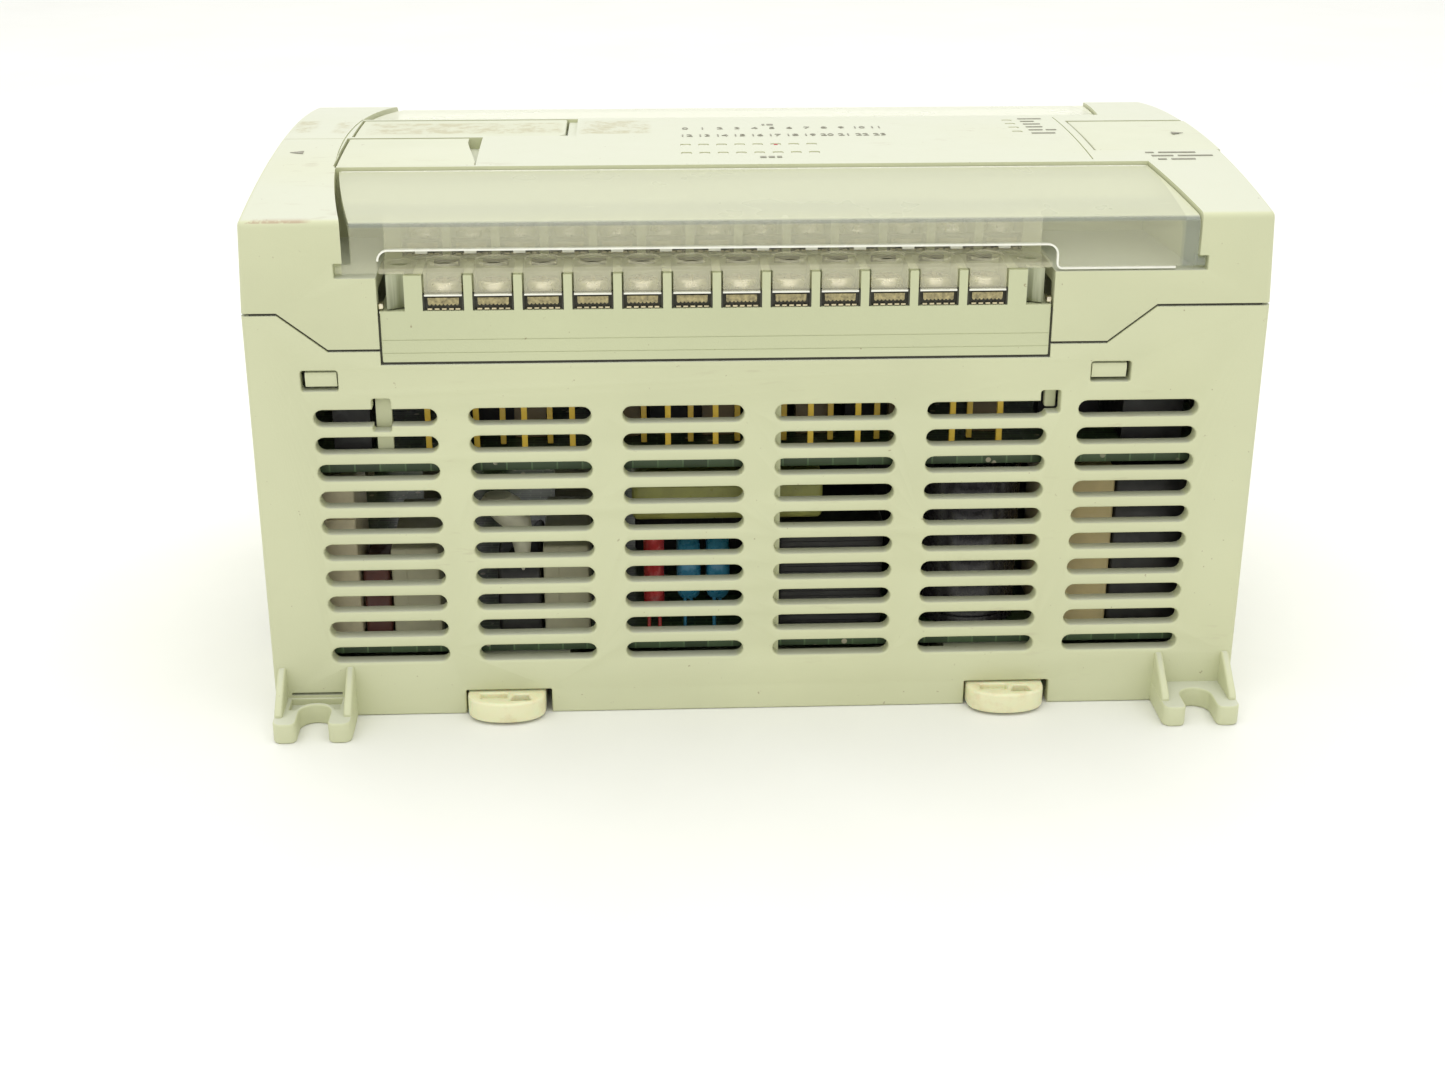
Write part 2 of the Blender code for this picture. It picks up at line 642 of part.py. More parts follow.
def finger_guard(name, side, material):
    """Clear stepped cover with a screwdriver hole above every screw and a skirt over each cell."""
    sheet = 0.0008
    front_z = FRONT_TIER_Z + GAP
    rear_z = REAR_TIER_Z + GAP
    back_y = -0.0235
    riser_y = TIER_Y - 0.0011
    profile = (
        (BLOCK_FACE_Y, front_z), (BLOCK_FACE_Y, front_z + sheet), (riser_y, front_z + sheet),
        (riser_y, rear_z + sheet), (back_y, rear_z + sheet), (back_y, rear_z),
        (riser_y + sheet, rear_z), (riser_y + sheet, front_z))
    skirts = []
    holes = []
    for x in cell_centres(FRONT_FIRST_X, FRONT_CELLS):
        skirts.append(box((x - 0.0028, x + 0.0028), (BLOCK_FACE_Y + 0.0002, BLOCK_FACE_Y + sheet),
                          (0.0721, front_z + 0.0004)))
        holes.append(cylinder("Z", (x, FRONT_SCREW_Y), GUARD_HOLE_RADIUS, 0.0745, 0.0775, 6))
    wire_ports = []
    for x in cell_centres(REAR_FIRST_X, REAR_CELLS):
        holes.append(cylinder("Z", (x, REAR_SCREW_Y), GUARD_HOLE_RADIUS, 0.0800, 0.0835, 6))
        wire_ports.append(box((x - 0.0026, x + 0.0026), (riser_y - 0.001, riser_y + 0.002),
                              (front_z + sheet + 0.0001, 0.0785)))
    for x in RETAINING_X:
        holes.append(cylinder("Z", (x, FRONT_SCREW_Y), GUARD_HOLE_RADIUS, 0.0745, 0.0775, 6))
    build(name, material, on_side([prism("X", BLOCK_X[0] + 0.0002, BLOCK_X[1] - 0.0002, profile)], side),
          add=[on_side(skirts, side)], cut=[on_side(holes, side), on_side(wire_ports, side)])


def retaining_screw(name, x, side, material):
    """Captive screw that holds a terminal block down."""
    y = FRONT_SCREW_Y if side < 0 else -FRONT_SCREW_Y
    head = cylinder("Z", (x, y), 0.0020, FRONT_FLOOR_Z + GAP, FRONT_FLOOR_Z + 0.0024, 12)
    shank = cylinder("Z", (x, y), 0.0010, BAY_SILL_Z + 0.0005, FRONT_FLOOR_Z + 0.0008, 8)
    slot = box((x - 0.0022, x + 0.0022), (y - 0.0003, y + 0.0003), (FRONT_FLOOR_Z + 0.0015, 0.075))
    build(name, material, [head], add=[[shank]], cut=[[slot]], origin=(x, y, FRONT_FLOOR_Z), smooth=True)


def pin_header(name, side, material):
    """Insulator bar with the gold pins that carry a terminal block's contacts to the board."""
    bar = box((-0.0577, 0.0442), (-0.0412, -0.0320), (0.0552, 0.0605))
    board_top = PROCESSOR_BOARD_Z + BOARD_THICKNESS + GAP
    pins = []
    for x in cell_centres(FRONT_FIRST_X, FRONT_CELLS):
        pins.append(box((x - 0.0004, x + 0.0004), (-0.0342, -0.0334), (board_top, 0.0560)))
    for x in cell_centres(REAR_FIRST_X, REAR_CELLS):
        pins.append(box((x - 0.0004, x + 0.0004), (-0.0404, -0.0396), (board_top, 0.0560)))
    build(name, material, on_side([bar], side), add=[on_side(pins, side)])


def terminals(plastic, clear, metal, header_plastic):
    for prefix, side in (("output", -1), ("input", 1)):
        terminal_block(prefix + "_terminal_block", side, plastic)
        terminal_row(prefix + "_front_terminals", side, metal, FRONT_FIRST_X, FRONT_CELLS,
                     FRONT_SCREW_Y, FRONT_FLOOR_Z)
        terminal_row(prefix + "_rear_terminals", side, metal, REAR_FIRST_X, REAR_CELLS,
                     REAR_SCREW_Y, REAR_FLOOR_Z)
        finger_guard(prefix + "_finger_guard", side, clear)
        pin_header(prefix + "_pin_header", side, header_plastic)
        for index, x in enumerate(RETAINING_X):
            retaining_screw(prefix + "_retaining_screw_" + str(index), x, side, metal)


# ---------------------------------------------------------------- DIN latches

def din_latch(name, left_x, material):
    """Sliding rail latch with a curved pull end and a screwdriver slot."""
    width = LATCH_WIDTH
    centre = left_x + width / 2
    nose_y = -0.0447
    bulge = 0.0050
    nose = []
    for step in range(11):
        angle = math.pi * step / 10
        nose.append((centre - width / 2 * math.cos(angle), nose_y - bulge * math.sin(angle) ** 0.7))
    outline = [(left_x, -0.0182)] + nose + [(left_x + width, -0.0182)]
    body = prism("Z", 0.0004, LATCH_TOP_Z, outline)
    tip_y = (-0.0200, -RAIL_HALF + RAIL_LIP)
    tip = box((left_x + 0.0001, left_x + width - 0.0001), tip_y, (0.0006, 0.0059))
    rails = [
        box((left_x - 0.0008, left_x + 0.0010), (-0.0380, -0.0240), (0.0019, 0.0031)),
        box((left_x + width - 0.0010, left_x + width + 0.0008), (-0.0380, -0.0240), (0.0019, 0.0031)),
    ]
    slot = box((left_x + 0.0070, left_x + 0.0108), (-0.0485, -0.0458), (0.0016, 0.0050))
    thumb = box((left_x + 0.0018, left_x + 0.0060), (-0.0478, -0.0456), (0.0030, 0.0050))
    build(name, material, [body], add=[[tip], rails], cut=[[slot, thumb]],
          origin=(centre, nose_y, 0.0), smooth=True)


# ---------------------------------------------------------------- covers on the front panel

def access_door(material):
    """Small hinged cover over the programming port, with a finger notch at its free end."""
    (low_x, high_x), (low_y, high_y) = ACCESS_RECESS
    gap = 0.0004
    leaf = prism("X", low_x + gap, high_x - 0.0020,
                 cover_profile(low_y + gap, high_y - gap, 0.0001, 0.0014))
    lip = prism("X", high_x - 0.0044, high_x - 0.0032,
                cover_profile(low_y + 0.0022, high_y - 0.0022, 0.0008, 0.0046))
    hinge_z = crown(low_y / 2) - ACCESS_HINGE_DROP
    build("access_door", material, [leaf], add=[[lip]],
          origin=(ACCESS_HINGE_X, (low_y + high_y) / 2, hinge_z))


def memory_cover(material):
    """Lift-off cover over the battery and the memory socket."""
    (low_x, high_x), (low_y, high_y) = MEMORY_RECESS
    gap = GAP
    leaf = prism("X", low_x + gap, high_x - gap,
                 cover_profile(low_y + gap, high_y - gap, 0.0001, 0.0014))
    legs = [
        box((low_x + 0.0030, low_x + 0.0044), (0.0070, 0.0130), (0.0800, 0.0860)),
        box((-0.0342, -0.0328), (0.0070, 0.0130), (0.0800, 0.0860)),
    ]
    corner = 0.0030
    clipped = prism("Z", 0.080, 0.090, (
        (high_x - gap - corner, low_y - 0.001), (high_x + 0.001, low_y - 0.001),
        (high_x + 0.001, low_y + gap + corner)))
    build("memory_cover", material, [leaf], add=[legs], cut=[[clipped]],
          origin=((low_x + high_x) / 2, (low_y + high_y) / 2, crown(high_y / 2)))


def bus_cover(material):
    """Hinged cover over the expansion connector; its lip closes the cable notch."""
    (low_x, _), (low_y, high_y) = BUS_RECESS
    gap = 0.0004
    right = HALF_LENGTH - END_DRAFT
    leaf = prism("X", low_x + gap, right, cover_profile(low_y + gap, high_y - gap, 0.0001, 0.0014))
    lip = prism("X", right - 0.0014, right - 0.0001,
                cover_profile(-0.0101, 0.0101, 0.0008, 0.0060))
    build("bus_cover", material, [leaf], add=[[lip]],
          origin=(BUS_HINGE_X, 0.0, crown(0.0) - 0.0010))


# ---------------------------------------------------------------- electronics

def board(name, z, half_x, half_y, material, cut=()):
    shapes = [box((-half_x, half_x), (-half_y, half_y), (z, z + BOARD_THICKNESS))]
    build(name, material, shapes, cut=cut)


def boards(green):
    corner_holes = [cylinder("Z", place_xy, SPACER_RADIUS / 2, 0.0, 0.060, 8) for place_xy in SPACER_PLACES]
    board("power_board", POWER_BOARD_Z, BOARD_HALF_LENGTH, BOARD_HALF_DEPTH, green, [corner_holes])
    board("processor_board", PROCESSOR_BOARD_Z, BOARD_HALF_LENGTH, BOARD_HALF_DEPTH, green, [corner_holes])
    board("display_board", DISPLAY_BOARD_Z, 0.0755, 0.0172, green)


def display_parts(black, nickel, cream, grey, clear, blue):
    """Connectors, switch, battery and light guides that stand on the display board."""
    floor_z = DISPLAY_BOARD_Z + BOARD_THICKNESS + GAP
    port = (-0.0590, -0.0095)
    build("programming_port", black, [cylinder("Z", port, 0.0052, floor_z, 0.0805, 16)],
          cut=[[cylinder("Z", port, 0.0042, 0.0745, 0.0820, 16)]], smooth=True)
    switch_x = -0.0506
    switch_y = -0.0085
    build("run_switch_body", black,
          [box((switch_x - 0.0020, switch_x + 0.0020), (switch_y - 0.0045, switch_y + 0.0045),
               (floor_z, 0.0780))],
          cut=[[box((switch_x - 0.0009, switch_x + 0.0009), (switch_y - 0.0030, switch_y + 0.0030),
                    (0.0755, 0.0790))]])
    build("run_switch_lever", cream,
          [box((switch_x - 0.0006, switch_x + 0.0006), (switch_y - 0.0026, switch_y - 0.0010),
               (0.0759, 0.0806))],
          origin=(switch_x, switch_y - 0.0018, 0.0780))
    build("backup_battery", blue,
          [cylinder("X", (0.0101, floor_z + 0.0058), 0.0054, -0.0625, -0.0445, 12)], smooth=True)
    build("memory_socket", black,
          [box((-0.0425, -0.0365), (0.0048, 0.0154), (floor_z, 0.0795))],
          cut=[[box((-0.0407, -0.0383), (0.0060, 0.0142), (0.0745, 0.0810))]])
    build("bus_connector", black,
          [box((0.0640, 0.0720), (-0.0090, 0.0090), (floor_z, 0.0800))],
          cut=[[box((0.0654, 0.0706), (-0.0078, 0.0078), (0.0735, 0.0815))]])
    guides = [box(x, y, (0.0820, 0.0864)) for x, y in led_windows(GAP)]
    output_guides = guides[:16]
    status_guides = guides[16:]
    build("output_light_guide", clear,
          [box((-0.0120, 0.0125), (-0.0135, -0.0050), (floor_z + 0.0008, 0.0830))], add=[output_guides])
    build("status_light_guide", clear,
          [box((0.0462, 0.0488), (0.0008, 0.0150), (floor_z + 0.0008, 0.0830))], add=[status_guides])
    lower_z = PROCESSOR_BOARD_Z + BOARD_THICKNESS + GAP
    build("display_link", black,
          [box((-0.0200, 0.0300), (-0.0030, 0.0030), (lower_z, DISPLAY_BOARD_Z - GAP))])


def component(name, material, x, y, top_z):
    build(name, material, [box(x, y, (POWER_BOARD_Z + BOARD_THICKNESS + GAP, top_z))])


def power_parts(black, cream, tan, olive, grey, red, blue, wine, metal):
    """Components between the power board and the processor board."""
    floor_z = POWER_BOARD_Z + BOARD_THICKNESS + GAP
    under_z = PROCESSOR_BOARD_Z - GAP
    component("line_filter", cream, (-0.0716, -0.0655), (-0.0395, -0.0240), 0.0390)
    component("line_fuse", wine, (-0.0651, -0.0607), (-0.0385, -0.0260), 0.0240)
    component("relay_0", grey, (-0.0603, -0.0524), (-0.0390, -0.0160), 0.0275)
    component("relay_1", grey, (-0.0353, -0.0277), (-0.0390, -0.0160), 0.0275)
    component("relay_2", grey, (-0.0603, -0.0524), (0.0160, 0.0390), 0.0275)
    component("relay_3", grey, (-0.0353, -0.0277), (0.0160, 0.0390), 0.0275)
    component("filter_choke", black, (-0.0430, -0.0357), (-0.0385, -0.0200), 0.0250)
    component("film_capacitor", tan, (0.0478, 0.0592), (-0.0392, -0.0220), 0.0400)
    component("line_choke", black, (0.0596, 0.0716), (-0.0380, -0.0180), 0.0400)
    component("transformer_core", black, (0.0040, 0.0212), (-0.0375, -0.0100), 0.0305)
    build("transformer_winding", olive, [box((-0.0205, 0.0111), (-0.0370, -0.0130), (0.0309, 0.0385))])
    build("red_capacitor", red, [cylinder("Z", (-0.0170, -0.0385), 0.0018, floor_z, 0.0303, 10)], smooth=True)
    for index, x in enumerate((-0.0112, -0.0063)):
        build("varistor_" + str(index), blue,
              [cylinder("X", (-0.0345, 0.0222), 0.0060, x - 0.0019, x + 0.0019, 14)],
              add=[[box((x - 0.0004, x + 0.0004), (-0.0360, -0.0330), (floor_z, 0.0180))]], smooth=True)
    for index, (x, y) in enumerate(((0.0365, -0.0305), (0.0130, 0.0250))):
        build("bulk_capacitor_" + str(index), black,
              [cylinder("Z", (x, y), 0.0085, floor_z, 0.0395, 20)], smooth=True)
    fins = [box((0.0300, 0.0700), (0.0200 + 0.0035 * index, 0.0214 + 0.0035 * index), (0.0140, 0.0360))
            for index in range(5)]
    build("heat_sink", metal, [box((0.0300, 0.0700), (0.0200, 0.0354), (floor_z, 0.0142))], add=[fins])
    build("board_link", black, [box((-0.0200, 0.0300), (-0.0035, 0.0035), (floor_z, under_z))])
    for index, spacer_xy in enumerate(SPACER_PLACES):
        build("board_spacer_" + str(index), metal,
              [cylinder("Z", spacer_xy, SPACER_RADIUS, floor_z, under_z, 10)], smooth=True)


# ---------------------------------------------------------------- assembly

def main():
    for old in list(bpy.data.objects):
        bpy.data.objects.remove(old, do_unlink=True)

    housing = make_material("housing_grey", (0.62, 0.63, 0.55), 0.50)
    block = make_material("block_grey", (0.58, 0.60, 0.53), 0.50)
    nylon = make_material("cream_nylon", (0.80, 0.76, 0.60), 0.45)
    clear = make_material("clear_plastic", (0.80, 0.85, 0.86), 0.12, transmission=0.9)
    metal = make_material("plated_steel", (0.66, 0.65, 0.60), 0.30, metallic=1.0)
    gold = make_material("gold_plate", (0.83, 0.62, 0.20), 0.30, metallic=1.0)
    black = make_material("black_plastic", (0.02, 0.02, 0.02), 0.40)
    green = make_material("board_green", (0.03, 0.13, 0.06), 0.45)
    cream = make_material("cream_plastic", (0.62, 0.55, 0.38), 0.50)
    tan = make_material("tan_epoxy", (0.60, 0.48, 0.24), 0.45)
    olive = make_material("olive_tape", (0.36, 0.35, 0.08), 0.45)
    grey = make_material("relay_grey", (0.40, 0.40, 0.34), 0.50)
    red = make_material("red_film", (0.45, 0.03, 0.03), 0.35)
    blue = make_material("blue_epoxy", (0.04, 0.22, 0.40), 0.40)
    wine = make_material("dark_red_plastic", (0.12, 0.03, 0.02), 0.45)

    base_housing(housing)
    front_housing(housing)
    output_and_input_doors(clear)
    terminals(block, clear, metal, gold)
    for index, left_x in enumerate(LATCH_LEFT_X):
        din_latch("din_latch_" + str(index), left_x, nylon)
    access_door(housing)
    memory_cover(housing)
    bus_cover(housing)
    boards(green)
    display_parts(black, metal, cream, grey, clear, blue)
    power_parts(black, cream, tan, olive, grey, red, blue, wine, metal)


main()
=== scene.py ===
"""Looks of the brick-shaped programmable controller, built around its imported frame.

Metres, in the frame's own axes: X along the module, Y across it, Z up from the back plane.
Every outline below is written for the -Y side, and mirrored for the other long side.
"""

import json
import math

import bmesh
import bpy
from mathutils import Matrix, Vector


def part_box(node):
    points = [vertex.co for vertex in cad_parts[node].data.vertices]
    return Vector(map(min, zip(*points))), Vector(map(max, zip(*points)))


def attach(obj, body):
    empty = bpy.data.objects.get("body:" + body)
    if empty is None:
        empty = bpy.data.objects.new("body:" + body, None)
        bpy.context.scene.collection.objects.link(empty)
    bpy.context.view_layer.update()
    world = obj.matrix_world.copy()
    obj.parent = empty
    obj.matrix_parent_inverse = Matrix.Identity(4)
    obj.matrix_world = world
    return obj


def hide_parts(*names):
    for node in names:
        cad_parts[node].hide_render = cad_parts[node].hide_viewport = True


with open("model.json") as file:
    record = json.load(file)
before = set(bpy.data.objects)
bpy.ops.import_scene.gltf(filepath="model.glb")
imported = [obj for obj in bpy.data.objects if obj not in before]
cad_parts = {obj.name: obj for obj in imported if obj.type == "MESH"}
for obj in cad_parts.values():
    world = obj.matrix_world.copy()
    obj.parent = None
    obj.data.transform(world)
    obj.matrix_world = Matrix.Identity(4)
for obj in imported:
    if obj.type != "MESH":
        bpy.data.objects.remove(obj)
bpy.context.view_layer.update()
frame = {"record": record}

# ---------------------------------------------------------------- sizes (metres)
BASE_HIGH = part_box("base_housing")[1]
FRONT_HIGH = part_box("front_housing")[1]
HALF_LENGTH = BASE_HIGH.x
HALF_DEPTH = FRONT_HIGH.y
HEIGHT = FRONT_HIGH.z
CROWN_DROP = 0.00312
CROWN_POWER = 2.06
END_DRAFT = 0.00065
WALL = 0.0025
GAP = 0.0003
SEAM_GAP = 0.0002

SEAM_END_Z = 0.0693
SEAM_MIDDLE_Z = 0.0634
BAY_LEFT = -0.0591
BAY_RIGHT = 0.0457
BAY_SILL_Z = 0.061
PANEL_HALF = 0.0195
PANEL_CUT_Z = (0.08, 0.09)
RECESS_FLOOR_Z = 0.0749
RECESS_APEX_X = -0.0684
RECESS_RADIUS = 0.2323
SNAP_WINDOWS = ((-0.0717, -0.0659), (0.0524, 0.0588))
SNAP_WINDOW_Z = (0.0568, 0.0602)

VENT_PITCH_X = 0.0242
VENT_PITCH_Z = 0.004574
VENT_FIRST_Z = 0.01115
VENT_WIDTH = 0.0195
VENT_HEIGHT = 0.003

CELL_PITCH = 0.00766
CELL_WIDTH = 0.00635
FRONT_FIRST_X = -0.04896
REAR_FIRST_X = FRONT_FIRST_X - CELL_PITCH / 2
FRONT_X = [FRONT_FIRST_X + index * CELL_PITCH for index in range(12)]
REAR_X = [REAR_FIRST_X + index * CELL_PITCH for index in range(13)]
FRONT_FLOOR_Z = 0.0696
REAR_FLOOR_Z = 0.0754
FRONT_SCREW_Y = -0.0405
REAR_SCREW_Y = -0.0295
FRONT_TIER_Z = 0.0752
REAR_TIER_Z = 0.0809
TIER_Y = -0.0343
FACE_Y = -0.0448
RETAINING_X = (-0.0558, 0.0423)
DOOR_DROP = 0.0006
EAR_INNER = 0.0009
SKIN_Y = (FACE_Y, FACE_Y + 0.001)

RAIL_HALF = 0.0178
RAIL_DEPTH = 0.0078
RAIL_LIP = 0.0016
RAIL_LIP_Z = 0.0063
LATCH_WIDTH = 0.0129
LATCH_RAIL = 0.0008
TAB_X = 0.0729
TAB_SLOT_Y = -0.05
TAB_SLOT_RADIUS = 0.0026
TAB_HALF_WIDTH = 0.00635
TAB_REACH = 0.0545
TAB_THICKNESS = 0.0035

SIDES = (("output", -1), ("input", 1))
RECORD = frame["record"]
BODIES = {node: body for body, nodes in RECORD["behaviour"]["bodies"].items() for node in nodes}
ADD = "UNION"
CUT = "DIFFERENCE"
KEEP = "INTERSECT"


# ---------------------------------------------------------------- shapes
# A shape is (axis, rings); a ring is (distance along the axis, closed outline in the other two).

def prism(axis, start, end, outline):
    return (axis, [(start, outline), (end, outline)])


def box(x, y, z):
    return prism("Z", z[0], z[1], [(x[0], y[0]), (x[1], y[0]), (x[1], y[1]), (x[0], y[1])])


def arc(centre, radius, start, end, segments):
    """Points on an arc, angles in degrees, both ends included."""
    points = []
    for step in range(segments + 1):
        angle = math.radians(start + (end - start) * step / segments)
        points.append((centre[0] + radius * math.cos(angle), centre[1] + radius * math.sin(angle)))
    return points


def about(centre, half):
    return (centre - half, centre + half)


def wider(span, distance):
    return (span[0] - distance, span[1] + distance)


def middle(span):
    return (span[0] + span[1]) / 2


def spans(node):
    """The (low, high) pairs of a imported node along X, Y and Z."""
    low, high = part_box(node)
    return (low.x, high.x), (low.y, high.y), (low.z, high.z)


def circle(centre, radius, segments=32):
    return arc(centre, radius, 0, 360 * (segments - 1) / segments, segments - 1)


def area(outline):
    total = 0.0
    for index, (x, y) in enumerate(outline):
        following = outline[(index + 1) % len(outline)]
        total += x * following[1] - following[0] * y
    return total / 2


def grow(outline, distance):
    """The outline moved outward by a distance, with mitred corners."""
    turn = 1.0 if area(outline) > 0 else -1.0
    moved = []
    count = len(outline)
    for index in range(count):
        here = Vector(outline[index])
        into = (here - Vector(outline[index - 1])).normalized()
        out = (Vector(outline[(index + 1) % count]) - here).normalized()
        normal_in = Vector((into.y, -into.x)) * turn
        normal_out = Vector((out.y, -out.x)) * turn
        mitre = (normal_in + normal_out) / max(0.4, 1.0 + normal_in.dot(normal_out))
        moved.append(tuple(here + mitre * distance))
    return moved


def rounded(outline, radius, segments=4):
    """The outline with every corner turned into a smooth curve."""
    result = []
    count = len(outline)
    for index in range(count):
        here = Vector(outline[index])
        before = Vector(outline[index - 1]) - here
        after = Vector(outline[(index + 1) % count]) - here
        reach = min(radius, before.length * 0.45, after.length * 0.45)
        first = here + before.normalized() * reach
        last = here + after.normalized() * reach
        for step in range(segments + 1):
            t = step / segments
            result.append(tuple(first * (1 - t) ** 2 + here * 2 * t * (1 - t) + last * t ** 2))
    return result


def rectangle(a, b, radius=0.0):
    outline = [(a[0], b[0]), (a[1], b[0]), (a[1], b[1]), (a[0], b[1])]
    return rounded(outline, radius) if radius else outline


def rim(radius, steps=3):
    """(inset, depth) pairs down a quarter-round edge."""
    pairs = []
    for step in range(steps + 1):
        angle = math.pi / 2 * step / steps
        pairs.append((radius * (1 - math.sin(angle)), radius * (1 - math.cos(angle))))
    return pairs


def soft(axis, start, end, outline, radius=0.0003, steps=3):
    """Prism with both ends rounded over."""
    first = [(start + depth, grow(outline, -inset)) for inset, depth in rim(radius, steps)]
    last = [(end - depth, grow(outline, -inset)) for inset, depth in rim(radius, steps)]
    return (axis, first + last[::-1])


def flared(axis, face, stop, outline, radius=0.0003, steps=3):
    """Cutter that enters at a face, leaves the rim rounded and ends inside at stop."""
    sign = 1.0 if stop > face else -1.0
    rings = [(face - sign * 0.001, grow(outline, radius))]
    rings += [(face + sign * depth, grow(outline, inset)) for inset, depth in rim(radius, steps)]
    return (axis, rings + [(stop, outline)])


def through(axis, face, outline, radius=0.0001):
    """Cutter right across the module, with both rims rounded."""
    rings = [(-face - 0.001, grow(outline, radius))]
    rings += [(-face + depth, grow(outline, inset)) for inset, depth in rim(radius, 2)]
    return (axis, rings + [(-along, ring) for along, ring in reversed(rings)])


def dome(axis, centre, radius, start, end, edge, segments=32):
    """Round bar whose far end is rounded over."""
    outline = circle(centre, radius, segments)
    sign = 1.0 if end > start else -1.0
    rings = [(end - sign * depth, grow(outline, -inset)) for inset, depth in rim(edge, 3)]
    return (axis, [(start, outline)] + rings[::-1])


def bar(axis, centre, radius, start, end, segments=32):
    return prism(axis, start, end, circle(centre, radius, segments))


def strip(axis, start, end, path, width):
    """Thin ribbon that follows an open path, with the width laid along the path's right side."""
    inner = []
    for index, point in enumerate(path):
        before = Vector(path[max(0, index - 1)])
        after = Vector(path[min(len(path) - 1, index + 1)])
        along = (after - before).normalized()
        inner.append((point[0] + along.y * width, point[1] - along.x * width))
    return prism(axis, start, end, list(path) + inner[::-1])


def mirrored(shapes):
    result = []
    for axis, rings in shapes:
        if axis == "X":
            result.append((axis, [(at, [(-y, z) for y, z in ring]) for at, ring in rings]))
        elif axis == "Y":
            result.append((axis, [(-at, ring) for at, ring in rings]))
        else:
            result.append((axis, [(at, [(x, -y) for x, y in ring]) for at, ring in rings]))
    return result


def on_side(shapes, side):
    return list(shapes) if side < 0 else mirrored(shapes)


def both(shapes):
    return list(shapes) + mirrored(shapes)


def add_shape(mesh, shape):
    axis, rings = shape
    loops = []
    for along, outline in rings:
        loop = []
        for a, b in outline:
            place = {"X": (along, a, b), "Y": (a, along, b), "Z": (a, b, along)}[axis]
            loop.append(mesh.verts.new(place))
        loops.append(loop)
    faces = [mesh.faces.new(loops[0]), mesh.faces.new(loops[-1])]
    for low, high in zip(loops, loops[1:]):
        for index in range(len(low)):
            following = (index + 1) % len(low)
            faces.append(mesh.faces.new((low[index], low[following], high[following], high[index])))
    bmesh.ops.recalc_face_normals(mesh, faces=faces)


def linked(name, mesh):
    """A new object in the scene, made from an edit mesh."""
    data = bpy.data.meshes.new(name)
    mesh.to_mesh(data)
    mesh.free()
    obj = bpy.data.objects.new(name, data)
    bpy.context.scene.collection.objects.link(obj)
    return obj


def mesh_object(name, shapes):
    mesh = bmesh.new()
    for shape in shapes:
        add_shape(mesh, shape)
    return linked(name, mesh)


def settle(obj):
    """Turn the modifiers into plain mesh."""
    depsgraph = bpy.context.evaluated_depsgraph_get()
    data = bpy.data.meshes.new_from_object(obj.evaluated_get(depsgraph))
    obj.modifiers.clear()
    old = obj.data
    obj.data = data
    bpy.data.meshes.remove(old)


def carve(obj, steps):
    """Join, keep or cut groups of shapes, in order; shapes of one group don't touch."""
    helpers = []
    for operation, shapes in steps:
        helper = mesh_object(obj.name + "_tool", shapes)
        helpers.append(helper)
        modifier = obj.modifiers.new(operation, "BOOLEAN")
        modifier.operation = operation
        modifier.object = helper
    settle(obj)
    for helper in helpers:
        data = helper.data
        bpy.data.objects.remove(helper)
        bpy.data.meshes.remove(data)


def shade(obj, angle=35):
    obj.data.shade_smooth()
    obj.data.set_sharp_from_angle(angle=math.radians(angle))


def dress(obj, node, material, stands_in=True):
    """Give a piece its material and the body of the node it belongs to, and hide that node when the piece
    stands in for it.
    """
    obj.data.materials.clear()
    obj.data.materials.append(material)
    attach(obj, BODIES[node])
    if stands_in:
        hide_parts(node)


def model(name, shapes, steps=()):
    obj = mesh_object(name, shapes)
    if steps:
        carve(obj, steps)
    return obj


def piece(name, node, shapes, material, steps=(), side=-1, angle=35, prepare=None):
    """One visible piece that stands for a node, written for the -Y side."""
    obj = mesh_object(name, on_side(shapes, side))
    if prepare:
        prepare(obj)
    if steps:
        carve(obj, [(operation, on_side(group, side)) for operation, group in steps])
    shade(obj, angle)
    dress(obj, node, material)


def spread(name, node, source, places, material, side):
    """Copies of one small model at several places, as one piece."""
    mesh = bmesh.new()
    for place in places:
        before = len(mesh.verts)
        mesh.from_mesh(source.data)
        mesh.verts.ensure_lookup_table()
        bmesh.ops.translate(mesh, verts=mesh.verts[before:], vec=place)
    if side > 0:
        bmesh.ops.scale(mesh, verts=mesh.verts, vec=(1, -1, 1))
        bmesh.ops.reverse_faces(mesh, faces=mesh.faces)
    obj = linked(name, mesh)
    shade(obj)
    dress(obj, node, material)


# ---------------------------------------------------------------- materials

